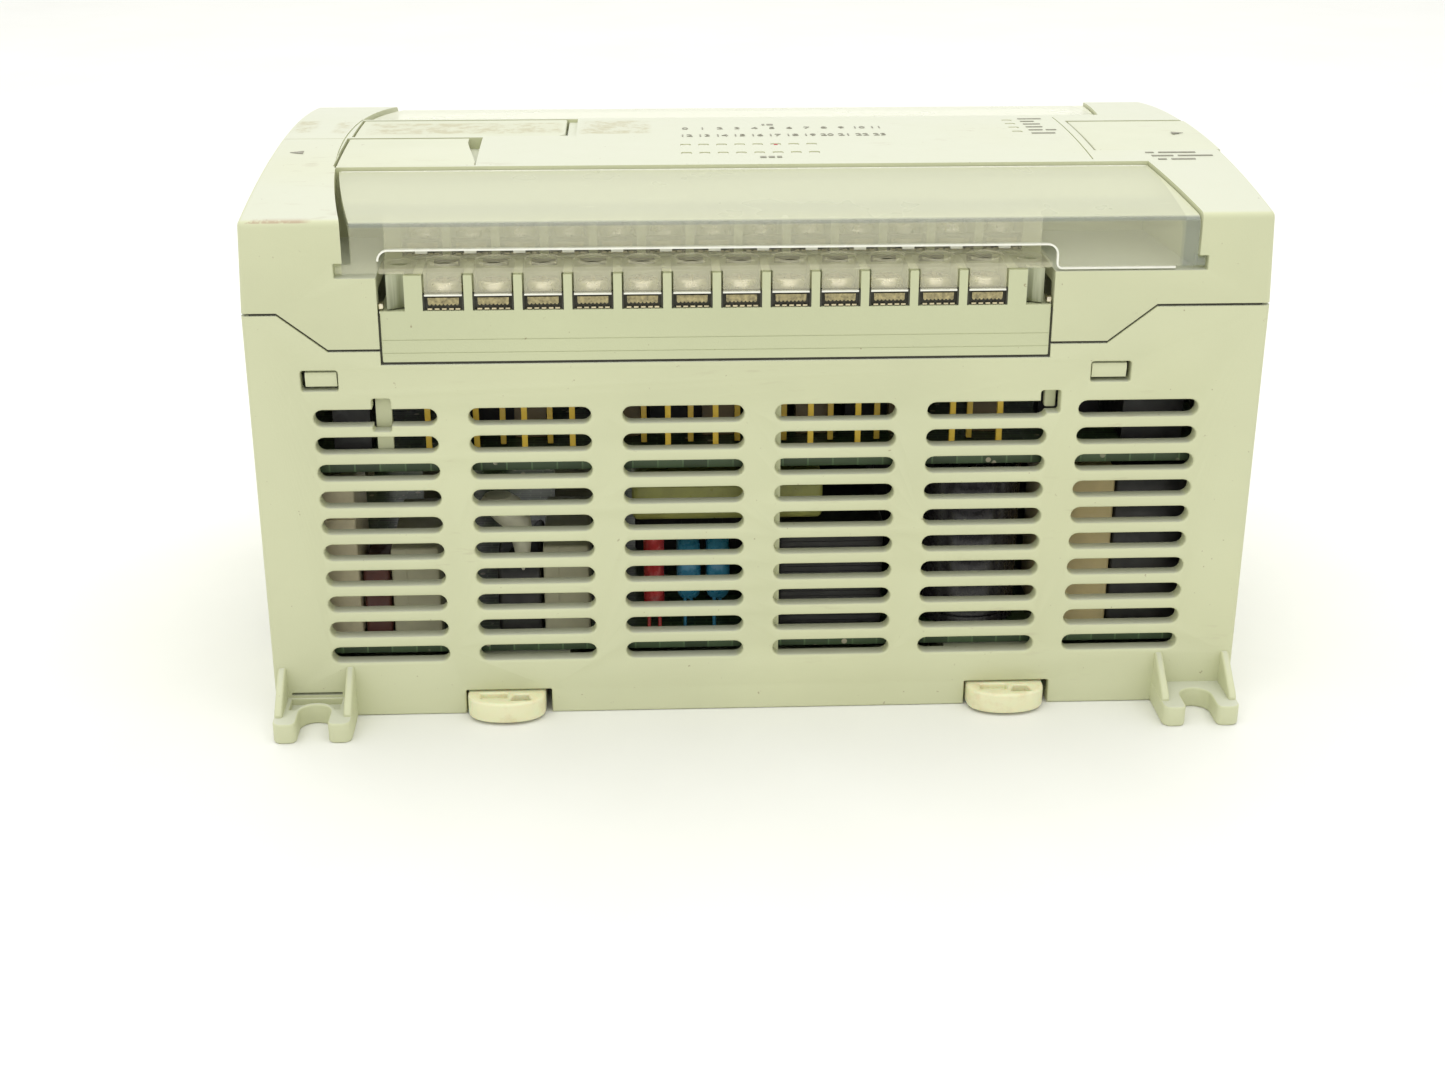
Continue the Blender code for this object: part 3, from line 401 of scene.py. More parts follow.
class Surface:
    """A Principled material with short calls for its texture nodes."""

    def __init__(self, name, **constants):
        self.material = bpy.data.materials.new(name)
        self.material.use_nodes = True
        self.tree = self.material.node_tree
        self.shader = self.tree.nodes["Principled BSDF"]
        for key, value in constants.items():
            self.shader.inputs[key.replace("_", " ")].default_value = value
        source = self.node("ShaderNodeTexCoord")
        self.place = source.outputs["Object"]
        self.facing = source.outputs["Normal"]

    def node(self, kind, inputs=None, **settings):
        made = self.tree.nodes.new(kind)
        for key, value in settings.items():
            setattr(made, key, value)
        for key, value in (inputs or {}).items():
            if isinstance(value, bpy.types.NodeSocket):
                self.tree.links.new(value, made.inputs[key])
            elif made.inputs[key].type == "RGBA":
                made.inputs[key].default_value = (*value, 1.0)
            else:
                made.inputs[key].default_value = value
        return made

    def stretched(self, scale):
        return self.node("ShaderNodeMapping", {"Vector": self.place, "Scale": scale}).outputs["Vector"]

    def noise(self, scale, detail=3.0, rough=0.55, vector=None):
        inputs = {"Vector": vector or self.place, "Scale": scale, "Detail": detail, "Roughness": rough}
        return self.node("ShaderNodeTexNoise", inputs).outputs["Fac"]

    def band(self, value, low, high, start=0.0, end=1.0):
        """Map a value from one range to another, clamped."""
        inputs = {"Value": value, "From Min": low, "From Max": high, "To Min": start, "To Max": end}
        return self.node("ShaderNodeMapRange", inputs).outputs["Result"]

    def drift(self, scale, detail=3.0):
        """Slow change between none and one."""
        return self.band(self.noise(scale, detail), 0.3, 0.7)

    def maths(self, operation, a, b):
        return self.node("ShaderNodeMath", {0: a, 1: b}, operation=operation).outputs["Value"]

    def times(self, a, b):
        return self.maths("MULTIPLY", a, b)

    def plus(self, a, b):
        return self.maths("ADD", a, b)

    def mix(self, factor, a, b):
        inputs = {0: factor, 6: a, 7: b}
        return self.node("ShaderNodeMix", inputs, data_type="RGBA").outputs[2]

    def axis(self, name):
        return self.node("ShaderNodeSeparateXYZ", {"Vector": self.place}).outputs[name]

    def upward(self):
        return self.node("ShaderNodeSeparateXYZ", {"Vector": self.facing}).outputs["Z"]

    def within(self, x, y, blur=0.0006):
        """One inside a rectangle of the plan, none outside it."""
        inside = self.band(self.axis("X"), x[0] - blur, x[0] + blur)
        for name, edge, rising in (("X", x[1], False), ("Y", y[0], True), ("Y", y[1], False)):
            start, end = (0.0, 1.0) if rising else (1.0, 0.0)
            side = self.band(self.axis(name), edge - blur, edge + blur, start, end)
            inside = self.times(inside, side)
        return inside

    def set(self, socket, value):
        self.tree.links.new(value, self.shader.inputs[socket])

    def paint(self, tone):
        self.set("Base Color", tone)

    def gloss(self, low, high, scale, detail=3.0):
        self.set("Roughness", self.band(self.noise(scale, detail), 0.3, 0.7, low, high))

    def bump(self, height, distance):
        inputs = {"Height": height, "Distance": distance, "Strength": 1.0}
        self.set("Normal", self.node("ShaderNodeBump", inputs).outputs["Normal"])


def shaded(colour, factor):
    return tuple(min(1.0, channel * factor) for channel in colour)


def moulded(name, colour, dirt=0.5, scuffs=0.0, painted_top_tone=None, residues=(), rubbed=0.0):
    """Matt moulded plastic: spark grain, slow tone drift, specks, scuffs, and a paler tone on upward faces
    that is painted sheen of the overhead light.

    Residues are the places of torn labels; rubbed is the height of a worn edge at the low X end.
    """
    surface = Surface(name, IOR=1.48)
    drift = surface.drift(38.0, 3.0)
    tone = surface.mix(drift, shaded(colour, 0.965), shaded(colour, 1.025))
    # Upward faces get a paler tone: painted sheen of the overhead light.
    if painted_top_tone:
        painted_top_sheen = surface.band(surface.upward(), 0.8, 0.98)
        tone = surface.mix(painted_top_sheen, tone, painted_top_tone)
    yellow = (colour[0] * 0.97, colour[1] * 0.94, colour[2] * 0.82)
    age = surface.band(surface.noise(14.0, 2.0), 0.56, 0.8, 0.0, 0.35)
    tone = surface.mix(age, tone, yellow)
    for x, y in residues:
        torn = surface.band(surface.noise(420.0, 4.0, 0.7), 0.44, 0.6, 0.1, 0.8)
        top = surface.band(surface.axis("Z"), 0.085, 0.0855)
        covered = surface.times(surface.times(surface.within(x, y), torn), top)
        tone = surface.mix(covered, tone, (0.43, 0.4, 0.24))
    specks = surface.band(surface.noise(900.0, 2.0, 0.6), 0.735, 0.775, 0.0, dirt)
    tone = surface.mix(specks, tone, (0.22, 0.15, 0.08))
    if scuffs:
        streaks = surface.noise(1.0, 3.0, 0.6, surface.stretched((160.0, 420.0, 900.0)))
        patches = surface.band(surface.noise(30.0, 2.0), 0.55, 0.72)
        marks = surface.times(surface.band(streaks, 0.6, 0.7, 0.0, scuffs), patches)
        tone = surface.mix(marks, tone, (0.36, 0.3, 0.19))
    if rubbed:
        rim = surface.band(surface.axis("Z"), rubbed - 0.0003, rubbed - 0.0002)
        rim = surface.times(rim, surface.band(surface.axis("Z"), rubbed, rubbed + 0.0003, 1.0, 0.0))
        near = surface.band(surface.axis("X"), -0.07, -0.068, 1.0, 0.0)
        worn = surface.band(surface.noise(260.0, 4.0, 0.7), 0.52, 0.58, 0.0, 0.6)
        worn = surface.times(surface.times(rim, near), worn)
        tone = surface.mix(worn, tone, (0.36, 0.2, 0.14))
    surface.paint(tone)
    polish = surface.band(surface.noise(120.0, 3.0), 0.3, 0.7, 0.43, 0.54)
    surface.set("Roughness", polish)
    surface.bump(surface.noise(3800.0, 2.0, 0.6), 0.000018)
    return surface.material


def clear_plastic(name, tint, opacity, crease=None, milky_sheen=None):
    """Clear moulded sheet with handling haze and hairline scratches.

    A hinged sheet also has a darker band at its crease and at its end flange, painted shade of the
    refraction through the bend and the sheet's thickness, and above the crease a rougher, hazier top whose
    pale tone is partly the sheet's own haze and partly painted reflection of the bright surroundings.
    """
    surface = Surface(name, IOR=1.49)
    streaks = surface.noise(1.0, 4.0, 0.65, surface.stretched((90.0, 1500.0, 1500.0)))
    scratch = surface.band(streaks, 0.66, 0.72, 0.0, 0.06)
    # The tint grows more opaque where the sheet is seen edge-on: painted reflection at grazing view, added
    # to the real gloss.
    weight = surface.node("ShaderNodeLayerWeight", {"Blend": 0.35}).outputs["Facing"]
    edge_on_sheen = surface.band(weight, 0.72, 0.99, 0.0, 0.3)
    haze = surface.band(surface.noise(60.0, 3.0), 0.3, 0.8, opacity, opacity * 1.12)
    alpha = surface.plus(surface.plus(haze, edge_on_sheen), scratch)
    tone = surface.mix(scratch, tint, (0.8, 0.82, 0.78))
    rough = surface.band(surface.noise(60.0, 3.0), 0.3, 0.8, 0.05, 0.07)
    if milky_sheen:
        height = surface.axis("Z")
        # The end flange and the band at the crease take the darker crease tone: painted shade of the
        # refraction through the sheet.
        flange = surface.band(surface.axis("X"), 0.0654, 0.0656)
        tone = surface.mix(flange, tone, crease)
        alpha = surface.plus(alpha, surface.times(flange, 0.12))
        bend = surface.band(height, 0.0826, 0.0828)
        # Above the crease the tone turns pale and more opaque: partly the top's own haze, partly painted
        # reflection of the bright surroundings.
        above = surface.band(height, 0.0831, 0.0834)
        alpha = surface.plus(alpha, surface.times(bend, 0.22))
        alpha = surface.plus(alpha, surface.times(above, 0.26))
        tone = surface.mix(above, surface.mix(bend, tone, crease), milky_sheen)
        rough = surface.plus(rough, surface.times(above, 0.22))
    surface.paint(tone)
    surface.set("Roughness", rough)
    surface.set("Alpha", alpha)
    return surface.material


def smoked(name, pale, dark, low_z, high_z):
    """Clear lug drawn opaque: upright flow stripes over painted shade of the pocket behind it, darkest at
    the bottom and fading to pale at the top.
    """
    surface = Surface(name, IOR=1.5)
    flow = surface.noise(1.0, 3.0, 0.5, surface.stretched((1400.0, 60.0, 60.0)))
    stripes = surface.band(flow, 0.38, 0.62)
    # Darker low down: painted shade of the pocket seen through the lug.
    fade = surface.band(surface.axis("Z"), low_z, high_z, 0.15, 0.95)
    weight = surface.band(surface.plus(surface.times(stripes, 0.5), fade), 0.1, 1.2)
    surface.paint(surface.mix(weight, dark, pale))
    surface.gloss(0.1, 0.2, 500.0)
    surface.bump(stripes, 0.00001)
    return surface.material


def plated(name, colour, roughness, brushed=True):
    """Plated metal with fine drawing marks and dull patches."""
    surface = Surface(name, Metallic=1.0)
    dull = surface.band(surface.noise(500.0, 3.0), 0.4, 0.7)
    surface.paint(surface.mix(dull, colour, shaded(colour, 0.72)))
    grain = (500.0, 9000.0, 9000.0) if brushed else (900.0, 900.0, 900.0)
    marks = surface.noise(1.0, 2.0, 0.5, surface.stretched(grain))
    surface.set("Roughness", surface.band(marks, 0.3, 0.7, roughness * 0.75, roughness * 1.4))
    surface.bump(marks, 0.000008)
    return surface.material


def nylon(name, colour):
    """Waxy cream nylon, slightly see-through, with grime worked into it."""
    surface = Surface(name, IOR=1.53, Subsurface_Weight=0.25, Subsurface_Scale=0.0015)
    grime = surface.band(surface.noise(260.0, 4.0, 0.65), 0.52, 0.75, 0.0, 0.55)
    surface.paint(surface.mix(grime, colour, (0.62, 0.5, 0.26)))
    surface.gloss(0.3, 0.46, 300.0, 3.0)
    surface.bump(surface.noise(1400.0, 3.0), 0.000015)
    return surface.material


def circuit_board(name, colour):
    """Green resist over copper: square tracks, darker laminate and bright pads."""
    surface = Surface(name, IOR=1.5, Coat_Weight=0.3, Coat_Roughness=0.15)
    tracks = surface.node("ShaderNodeTexBrick", {
        "Vector": surface.stretched((420.0, 420.0, 420.0)), "Color1": shaded(colour, 1.5),
        "Color2": shaded(colour, 0.8), "Mortar": shaded(colour, 2.2), "Scale": 1.0,
        "Mortar Size": 0.06, "Brick Width": 1.7, "Row Height": 0.5}).outputs["Color"]
    pads = surface.node("ShaderNodeTexVoronoi", {"Vector": surface.place, "Scale": 380.0})
    pad = surface.band(pads.outputs["Distance"], 0.16, 0.2, 0.85, 0.0)
    rare = surface.band(surface.noise(90.0, 2.0), 0.52, 0.56)
    surface.paint(surface.mix(surface.times(pad, rare), tracks,
                                          (0.55, 0.5, 0.36)))
    surface.gloss(0.3, 0.5, 200.0, 3.0)
    surface.bump(surface.noise(900.0, 2.0), 0.00002)
    return surface.material


def coated(name, colour, roughness=0.35, mottle=0.25, grain=0.00002, scale=420.0):
    """Dipped, sleeved or cast electronic part: uneven gloss and a slightly lumpy skin."""
    surface = Surface(name, IOR=1.5)
    drift = surface.drift(scale, 3.0)
    surface.paint(surface.mix(drift, shaded(colour, 1.0 - mottle), shaded(colour, 1.0 + mottle)))
    surface.gloss(roughness * 0.7, roughness * 1.3, scale * 2, 2.0)
    surface.bump(surface.noise(scale * 1.5, 3.0), grain)
    return surface.material


def printed_ink(name, colour):
    """Pad-printed ink, a little worn through."""
    surface = Surface(name)
    worn = surface.band(surface.noise(1800.0, 3.0), 0.55, 0.75, 0.0, 0.5)
    surface.paint(surface.mix(worn, colour, (0.62, 0.62, 0.52)))
    surface.gloss(0.45, 0.65, 900.0)
    return surface.material


# The housing's paler top tone is painted sheen of the overhead light.
HOUSING = moulded("housing_grey", (0.575, 0.592, 0.378), scuffs=0.3, rubbed=0.0838,
                  painted_top_tone=(0.575, 0.59, 0.46),
                  residues=(((-0.0283, -0.0165), (0.0032, 0.0161)), ((-0.0784, -0.0748), (0.006, 0.018)),
                            ((-0.0712, -0.069), (0.0052, 0.0168))))
PANEL = moulded("cover_grey", (0.575, 0.59, 0.44), scuffs=0.2,
                residues=(((-0.0652, -0.0318), (0.0045, 0.015)),))
BLOCK = moulded("block_grey", (0.53, 0.555, 0.345), dirt=0.6)
# The ears' dark lower tone is painted shade of the pockets behind them.
EAR = smoked("ear_painted_shade", (0.42, 0.44, 0.29), (0.13, 0.14, 0.07), 0.0698, 0.0758)
# The door's pale tint is partly its haze and partly painted light in the recess behind it, which the door's
# top leaves in shade.
CLEAR = clear_plastic("clear_door", (0.84, 0.84, 0.62), 0.165, crease=(0.36, 0.39, 0.35),
                      milky_sheen=(0.665, 0.68, 0.48))
# The guard's bright tint partly paints light onto it, where the door above leaves it in shade.
CLEAR_GUARD = clear_plastic("clear_guard", (0.95, 0.92, 0.68), 0.24)
STEEL = plated("plated_steel", (0.66, 0.58, 0.38), 0.3)
BRIGHT = plated("bright_screw", (0.86, 0.79, 0.6), 0.3, brushed=False)
GOLD = coated("gold_plate", (0.93, 0.64, 0.1), 0.22, 0.07)
BRASS = coated("contact_brass", (0.34, 0.29, 0.14), 0.35, 0.45, scale=1500.0)
# Near-black stand-in for shade in seams, block gaps, cells and behind the guard.
SHADE = coated("painted_shade", (0.035, 0.034, 0.02), 0.6, 0.2)
NYLON = nylon("cream_nylon", (0.76, 0.75, 0.49))
BOARD = circuit_board("board_green", (0.05, 0.082, 0.038))
BLACK = coated("black_part", (0.022, 0.021, 0.02), 0.4, 0.35)
SLEEVE = coated("capacitor_sleeve", (0.03, 0.027, 0.03), 0.28, 0.2)
CREAM = coated("cream_part", (0.62, 0.55, 0.38), 0.5, 0.1)
TAN = coated("tan_part", (0.6, 0.49, 0.25), 0.42, 0.12, scale=160.0)
TAPE = coated("winding_tape", (0.33, 0.33, 0.09), 0.38, 0.12)
RELAY = coated("relay_case", (0.44, 0.42, 0.29), 0.55, 0.06)
RED = coated("red_part", (0.42, 0.035, 0.035), 0.25, 0.25)
BLUE = coated("blue_part", (0.035, 0.2, 0.33), 0.3, 0.2)
WINE = coated("dark_red_part", (0.1, 0.03, 0.022), 0.45, 0.2)
UMBER = coated("brown_part", (0.17, 0.125, 0.055), 0.4, 0.15)
COMPOUND = coated("white_compound", (0.6, 0.58, 0.45), 0.55, 0.1)
# Cream stand-in for highlights along the edges of the clear sheets.
HIGHLIGHT_PAINT = coated("painted_highlight", (0.84, 0.84, 0.74), 0.22, 0.05)
LENS = coated("window_lens", (0.62, 0.62, 0.5), 0.22, 0.06)
INK = printed_ink("dark_ink", (0.25, 0.24, 0.18))
METAL_SINK = plated("heat_sink_metal", (0.62, 0.62, 0.6), 0.4)


# ---------------------------------------------------------------- outlines of the housing

def crown(y):
    return HEIGHT - CROWN_DROP * (abs(y) / HALF_DEPTH) ** CROWN_POWER


def crown_points(start, end, drop, segments):
    points = []
    for step in range(segments + 1):
        y = start + (end - start) * step / segments
        points.append((y, crown(y) - drop))
    return points


def recess_left(y):
    return RECESS_APEX_X + RECESS_RADIUS - math.sqrt(RECESS_RADIUS ** 2 - y * y)


def recess_right(y):
    return 0.0653 + (abs(y) - PANEL_HALF) * 0.0028 / (HALF_DEPTH - PANEL_HALF)


def door_plan(back, front, left_gap=0.0, left_flare=0.0, right_gap=0.0, segments=20):
    left = []
    for step in range(segments + 1):
        share = step / segments
        y = back + (front - back) * share
        left.append((recess_left(y) + left_gap + left_flare * share, y))
    return left + [(recess_right(front) - right_gap, front), (recess_right(back) - right_gap, back)]


def seam_line(shift, bay=False):
    end = SEAM_END_Z + shift
    middle = SEAM_MIDDLE_Z + shift
    line = [(-0.085, end), (-0.0746, end), (-0.0671, middle), (BAY_LEFT, middle)]
    if bay:
        line += [(BAY_LEFT, BAY_SILL_Z), (BAY_RIGHT, BAY_SILL_Z)]
    return line + [(BAY_RIGHT, middle), (0.0546, middle), (0.0621, end), (0.085, end)]


# ---------------------------------------------------------------- base housing

def stadium(x, z, width, height, segments=8):
    radius = height / 2
    reach = width / 2 - radius
    return arc((x + reach, z), radius, -90, 90, segments) + arc((x - reach, z), radius, 90, 270, segments)


def vent_cutters():
    cutters = []
    for column in range(6):
        x = (column - 2.5) * VENT_PITCH_X
        for row in range(10):
            z = VENT_FIRST_Z + row * VENT_PITCH_Z
            outline = stadium(x, z, VENT_WIDTH - 0.0002, VENT_HEIGHT - 0.0002)
            cutters.append(flared("Y", -HALF_DEPTH, -HALF_DEPTH + WALL + 0.0006, outline, 0.00035))
    return cutters


def tab_shapes(x):
    tip = 0.0014
    inner = tip * 0.8
    outline = [(x - TAB_HALF_WIDTH, -HALF_DEPTH + 0.001)]
    outline += arc((x - TAB_HALF_WIDTH + tip, -TAB_REACH + tip), tip, 180, 270, 6)
    outline += arc((x - TAB_SLOT_RADIUS - inner, -TAB_REACH + inner), inner, 270, 360, 6)
    outline += arc((x, TAB_SLOT_Y), TAB_SLOT_RADIUS, 180, 0, 24)
    outline += arc((x + TAB_SLOT_RADIUS + inner, -TAB_REACH + inner), inner, 180, 270, 6)
    outline += arc((x + TAB_HALF_WIDTH - tip, -TAB_REACH + tip), tip, 270, 360, 6)
    outline += [(x + TAB_HALF_WIDTH, -HALF_DEPTH + 0.001)]
    return soft("Z", 0.0, TAB_THICKNESS, outline, 0.0003)


def tab_ribs(x):
    profile = [(-HALF_DEPTH + 0.001, 0.001), (-HALF_DEPTH + 0.001, 0.0092), (-HALF_DEPTH - 0.0006, 0.009)]
    profile += [(-TAB_REACH + 0.003, TAB_THICKNESS + 0.0012), (-TAB_REACH + 0.0024, TAB_THICKNESS + 0.0004),
                (-TAB_REACH + 0.0024, 0.001)]
    left = x - TAB_HALF_WIDTH + 0.0001
    right = x + TAB_HALF_WIDTH - 0.0001
    return [soft("X", left, left + 0.0013, profile, 0.0004),
            soft("X", right - 0.0013, right, profile, 0.0004)]


def tab_pocket(x):
    outline = [(x - 0.0043, -0.0452), (x + 0.004, -0.0452), (x + 0.004, -0.0492)]
    outline += arc((x, TAB_SLOT_Y), 0.0033, 14, 166, 20)
    outline += [(x - 0.0043, -0.0492)]
    return flared("Z", TAB_THICKNESS, TAB_THICKNESS - 0.0012, outline, 0.0002)


def make_base():
    corner = rounded(rectangle((-HALF_LENGTH, HALF_LENGTH), (-HALF_DEPTH, HALF_DEPTH)), 0.0009, 6)
    body = [soft("Z", 0.0, 0.072, corner, 0.0004)]
    tabs = [tab_shapes(x) for x in (-TAB_X, TAB_X)]
    ribs = tab_ribs(-TAB_X) + tab_ribs(TAB_X)
    inner_x = HALF_LENGTH - WALL
    inner_y = HALF_DEPTH - WALL
    chamber = [box((-inner_x, inner_x), (-inner_y, inner_y), (0.0094, 0.08))]
    above = seam_line(-SEAM_GAP, bay=True) + [(0.085, 0.09), (-0.085, 0.09)]
    upper = [through("Y", HALF_DEPTH, above)]
    sunk = [box((low, high), (-inner_y, -0.0203), (0.0024, 0.0099))
            for low, high in ((-inner_x, -0.0515), (-0.0312, 0.0316), (0.0518, inner_x))]
    sunk.append(box((-inner_x, inner_x), (0.0203, inner_y), (0.0024, 0.0099)))
    lip = RAIL_HALF - RAIL_LIP
    seat = lip - GAP
    relief_z = 0.0081
    channel = [prism("X", -0.081, 0.081, [
        (-RAIL_HALF, -0.001), (-RAIL_HALF, relief_z), (-seat, relief_z), (-seat, RAIL_DEPTH),
        (seat, RAIL_DEPTH), (seat, relief_z), (RAIL_HALF, relief_z), (RAIL_HALF, RAIL_LIP_Z),
        (lip, RAIL_LIP_Z), (lip, -0.001)])]
    ways = []
    tips = []
    rails = []
    for index in range(2):
        low, high = spans("din_latch_" + str(index))[0]
        low += LATCH_RAIL - GAP
        high += GAP - 0.0001
        mouth = rectangle((low, high), (-0.001, 0.0043), 0.0003)
        ways.append(flared("Y", -HALF_DEPTH, -RAIL_HALF + 0.0005, mouth, 0.0003))
        tips.append(box((low + 0.0001, high - 0.0001), (-0.0255, -RAIL_HALF + 0.0005), (0.002, 0.0063)))
        rails.append(box((low - 0.0011, high + 0.0011), (-0.0434, -0.0234), (0.0016, 0.0034)))
    wall_stop = -inner_y + 0.0006
    windows = [flared("Y", -HALF_DEPTH, wall_stop, rectangle(x, SNAP_WINDOW_Z, 0.0005), 0.0003)
               for x in SNAP_WINDOWS]
    notches = [flared("Y", -HALF_DEPTH, wall_stop, rectangle(x, (bottom, 0.0555), 0.0005), 0.0003)
               for x, bottom in (((-0.061, -0.058), 0.05), ((0.0447, 0.0479), 0.0517))]
    slit = [box((-TAB_X - 0.0043, -TAB_X + 0.004), (-0.046, -0.0436), (0.004, 0.0045))]
    stiffeners = [box((0.001, 0.0035), (-inner_y - 0.0004, -0.0415), (0.005, 0.06))]
    piece("base_shell", "base_housing", body, HOUSING, [
        (ADD, both(tabs)), (ADD, both(ribs)), (CUT, chamber), (CUT, sunk),
        (CUT, upper), (CUT, channel), (CUT, ways), (CUT, tips),
        (CUT, rails), (CUT, both(vent_cutters())), (CUT, both(windows)),
        (CUT, both(notches)), (CUT, [tab_pocket(-TAB_X)]), (CUT, slit),
        (ADD, both(stiffeners))])


# ---------------------------------------------------------------- front housing

LED_ROWS = (-0.0064, -0.0122)
LED_FIRST_X = -0.0105
LED_PITCH = 0.00305
STATUS_X = 0.0475
MEMORY_SEAT = ((-0.0674, -0.0306), (0.0017, 0.0185))
MEMORY_STEP_X = -0.0291
ACCESS_SEAT = ((-0.068, -0.045), (-0.0188, 0.0007))
BUS_SEAT = ((0.0578, 0.081), (-0.0125, 0.0125))


def led_places():
    places = [(LED_FIRST_X + column * LED_PITCH, y) for y in LED_ROWS for column in range(8)]
    return places + [(STATUS_X, 0.0135 - row * 0.0037) for row in range(4)]


def over_crown(x, y, drop, rise=0.002):
    """Region from a drop below the crown to just above the panel."""
    low, high = y
    outline = crown_points(low, high, drop, 12) + [(high, HEIGHT + rise), (low, HEIGHT + rise)]
    return prism("X", x[0], x[1], outline)


def cap_groove():
    """Curved line across the panel where the end cap meets it."""
    rings = []
    for step in range(17):
        y = -0.0197 + 0.0394 * step / 16
        x = recess_left(y)
        rings.append((y, rectangle(about(x, 0.00012), (crown(y) - 0.00022, crown(y) + 0.001))))
    return ("Y", rings)


def hook(window):
    profile = [(-0.0436, 0.0722), (-0.0436, 0.0702), (-0.0421, 0.0702), (-0.0421, 0.06),
               (-0.0445, 0.0598), (-0.0447, 0.0592), (-0.0444, 0.0575), (-0.0421, 0.0571),
               (-0.0406, 0.0571), (-0.0406, 0.0722)]
    inner = min(window, key=abs)
    outer = max(window, key=abs)
    low, high = sorted((inner + math.copysign(0.0002, inner), outer - math.copysign(0.0007, outer)))
    return prism("X", low, high, profile)


def strap(low, high, bottom):
    outer = -HALF_DEPTH + WALL
    profile = [(outer - 0.0006, 0.066), (outer - 0.0006, 0.0638), (outer + 0.0004, 0.0638),
               (outer + 0.0004, bottom), (outer + 0.0016, bottom), (outer + 0.0016, 0.066)]
    return soft("X", low, high, profile, 0.0003, 2)


def draft_ends(obj):
    """Lean both ends of the front housing in towards the top."""
    full_rise = HEIGHT - CROWN_DROP - SEAM_END_Z
    for vertex in obj.data.vertices:
        rise = (vertex.co.z - SEAM_END_Z) / full_rise
        vertex.co.x -= math.copysign(END_DRAFT, vertex.co.x) * rise


def make_front():
    edge = 0.0011
    top = crown(HALF_DEPTH - edge) - edge
    outer = arc((-HALF_DEPTH + edge, top), edge, 180, 100, 5)
    outer += crown_points(-HALF_DEPTH + edge, HALF_DEPTH - edge, 0.0, 96)[1:-1]
    outer += arc((HALF_DEPTH - edge, top), edge, 80, 0, 5)
    outer += [(HALF_DEPTH, SEAM_END_Z), (HALF_DEPTH, 0.062), (-HALF_DEPTH, 0.062),
              (-HALF_DEPTH, SEAM_END_Z)]
    body = [soft("X", -HALF_LENGTH, HALF_LENGTH, outer, 0.0008, 4)]
    inner_x = HALF_LENGTH - WALL - 0.0006
    inner_y = HALF_DEPTH - WALL
    panel_inner = PANEL_HALF - 0.0017
    middle = [box((-inner_x, inner_x), (-panel_inner, panel_inner), (0.05, 0.0836))]
    under = [box((-inner_x, inner_x), (-inner_y, -PANEL_HALF), (0.05, RECESS_FLOOR_Z - 0.0022))]
    ends = [box(x, (-inner_y, -panel_inner - 0.0001), (0.051, 0.0815))
            for x in ((-inner_x, -0.0705), (0.0705, inner_x))]
    recess = [prism("Z", RECESS_FLOOR_Z, HEIGHT + 0.002, door_plan(-PANEL_HALF, -HALF_DEPTH - 0.001))]
    bay = [box((BAY_LEFT, BAY_RIGHT), (-0.046, -0.02), (0.055, RECESS_FLOOR_Z + 0.001))]
    pocket_z = (RECESS_FLOOR_Z, 0.0772)
    pin_pockets = [flared("Y", -HALF_DEPTH, -0.0428, rectangle(x, pocket_z, 0.0002), 0.0002)
                   for x in ((-0.0654, -0.063), (0.067, 0.0695))]
    below = seam_line(SEAM_GAP) + [(0.085, 0.05), (-0.085, 0.05)]
    lower = [through("Y", HALF_DEPTH, below)]
    seats = [over_crown(*seat, 0.002) for seat in (MEMORY_SEAT, ACCESS_SEAT, BUS_SEAT)]
    step = over_crown((MEMORY_SEAT[0][1] - 0.0001, MEMORY_STEP_X), MEMORY_SEAT[1], 0.0006)
    wells = [box((-0.065, -0.0322), (0.004, 0.0162), PANEL_CUT_Z),
             box((-0.0655, -0.0475), (-0.017, -0.0011), PANEL_CUT_Z),
             box((0.0615, 0.077), (-0.0108, 0.0108), PANEL_CUT_Z)]
    cable_notch = [box((0.075, 0.081), (-0.0105, 0.0105), (0.076, 0.086))]
    windows = [prism("Z", *PANEL_CUT_Z, rectangle(about(x, 0.0009), about(y, 0.0007), 0.0005))
               for x, y in led_places()]
    grooves = [over_crown((0.0563, 0.0565), (-0.0182, 0.0166), 0.00025),
               over_crown((-0.081, -0.0686), (0.0004, 0.0006), 0.00025), cap_groove()]
    piece("front_shell", "front_housing", body, HOUSING, prepare=draft_ends, steps=[
        (CUT, middle), (CUT, both(under)), (CUT, both(ends)),
        (CUT, both(recess)), (CUT, both(bay)), (CUT, both(pin_pockets)),
        (CUT, lower), (CUT, seats), (CUT, [step]), (CUT, wells),
        (CUT, cable_notch), (CUT, windows), (CUT, grooves),
        (ADD, both([hook(window) for window in SNAP_WINDOWS])),
        (ADD, both([strap(-0.0608, -0.0592, 0.0596), strap(0.0458, 0.0477, 0.0519)])),
        (ADD, both([box((-0.0607, -0.0582), (-0.0421, -0.0409), (0.0462, 0.06))]))])


# ---------------------------------------------------------------- covers on the front panel

def cover_leaf(x, y, segments=16):
    """Thin lid that follows the crown, with rounded rims."""
    low, high = y
    outline = crown_points(low, high, 0.0001, segments)
    outline += [(high, crown(high) - 0.0014), (low, crown(low) - 0.0014)]
    return soft("X", x[0], x[1], outline, 0.00025)


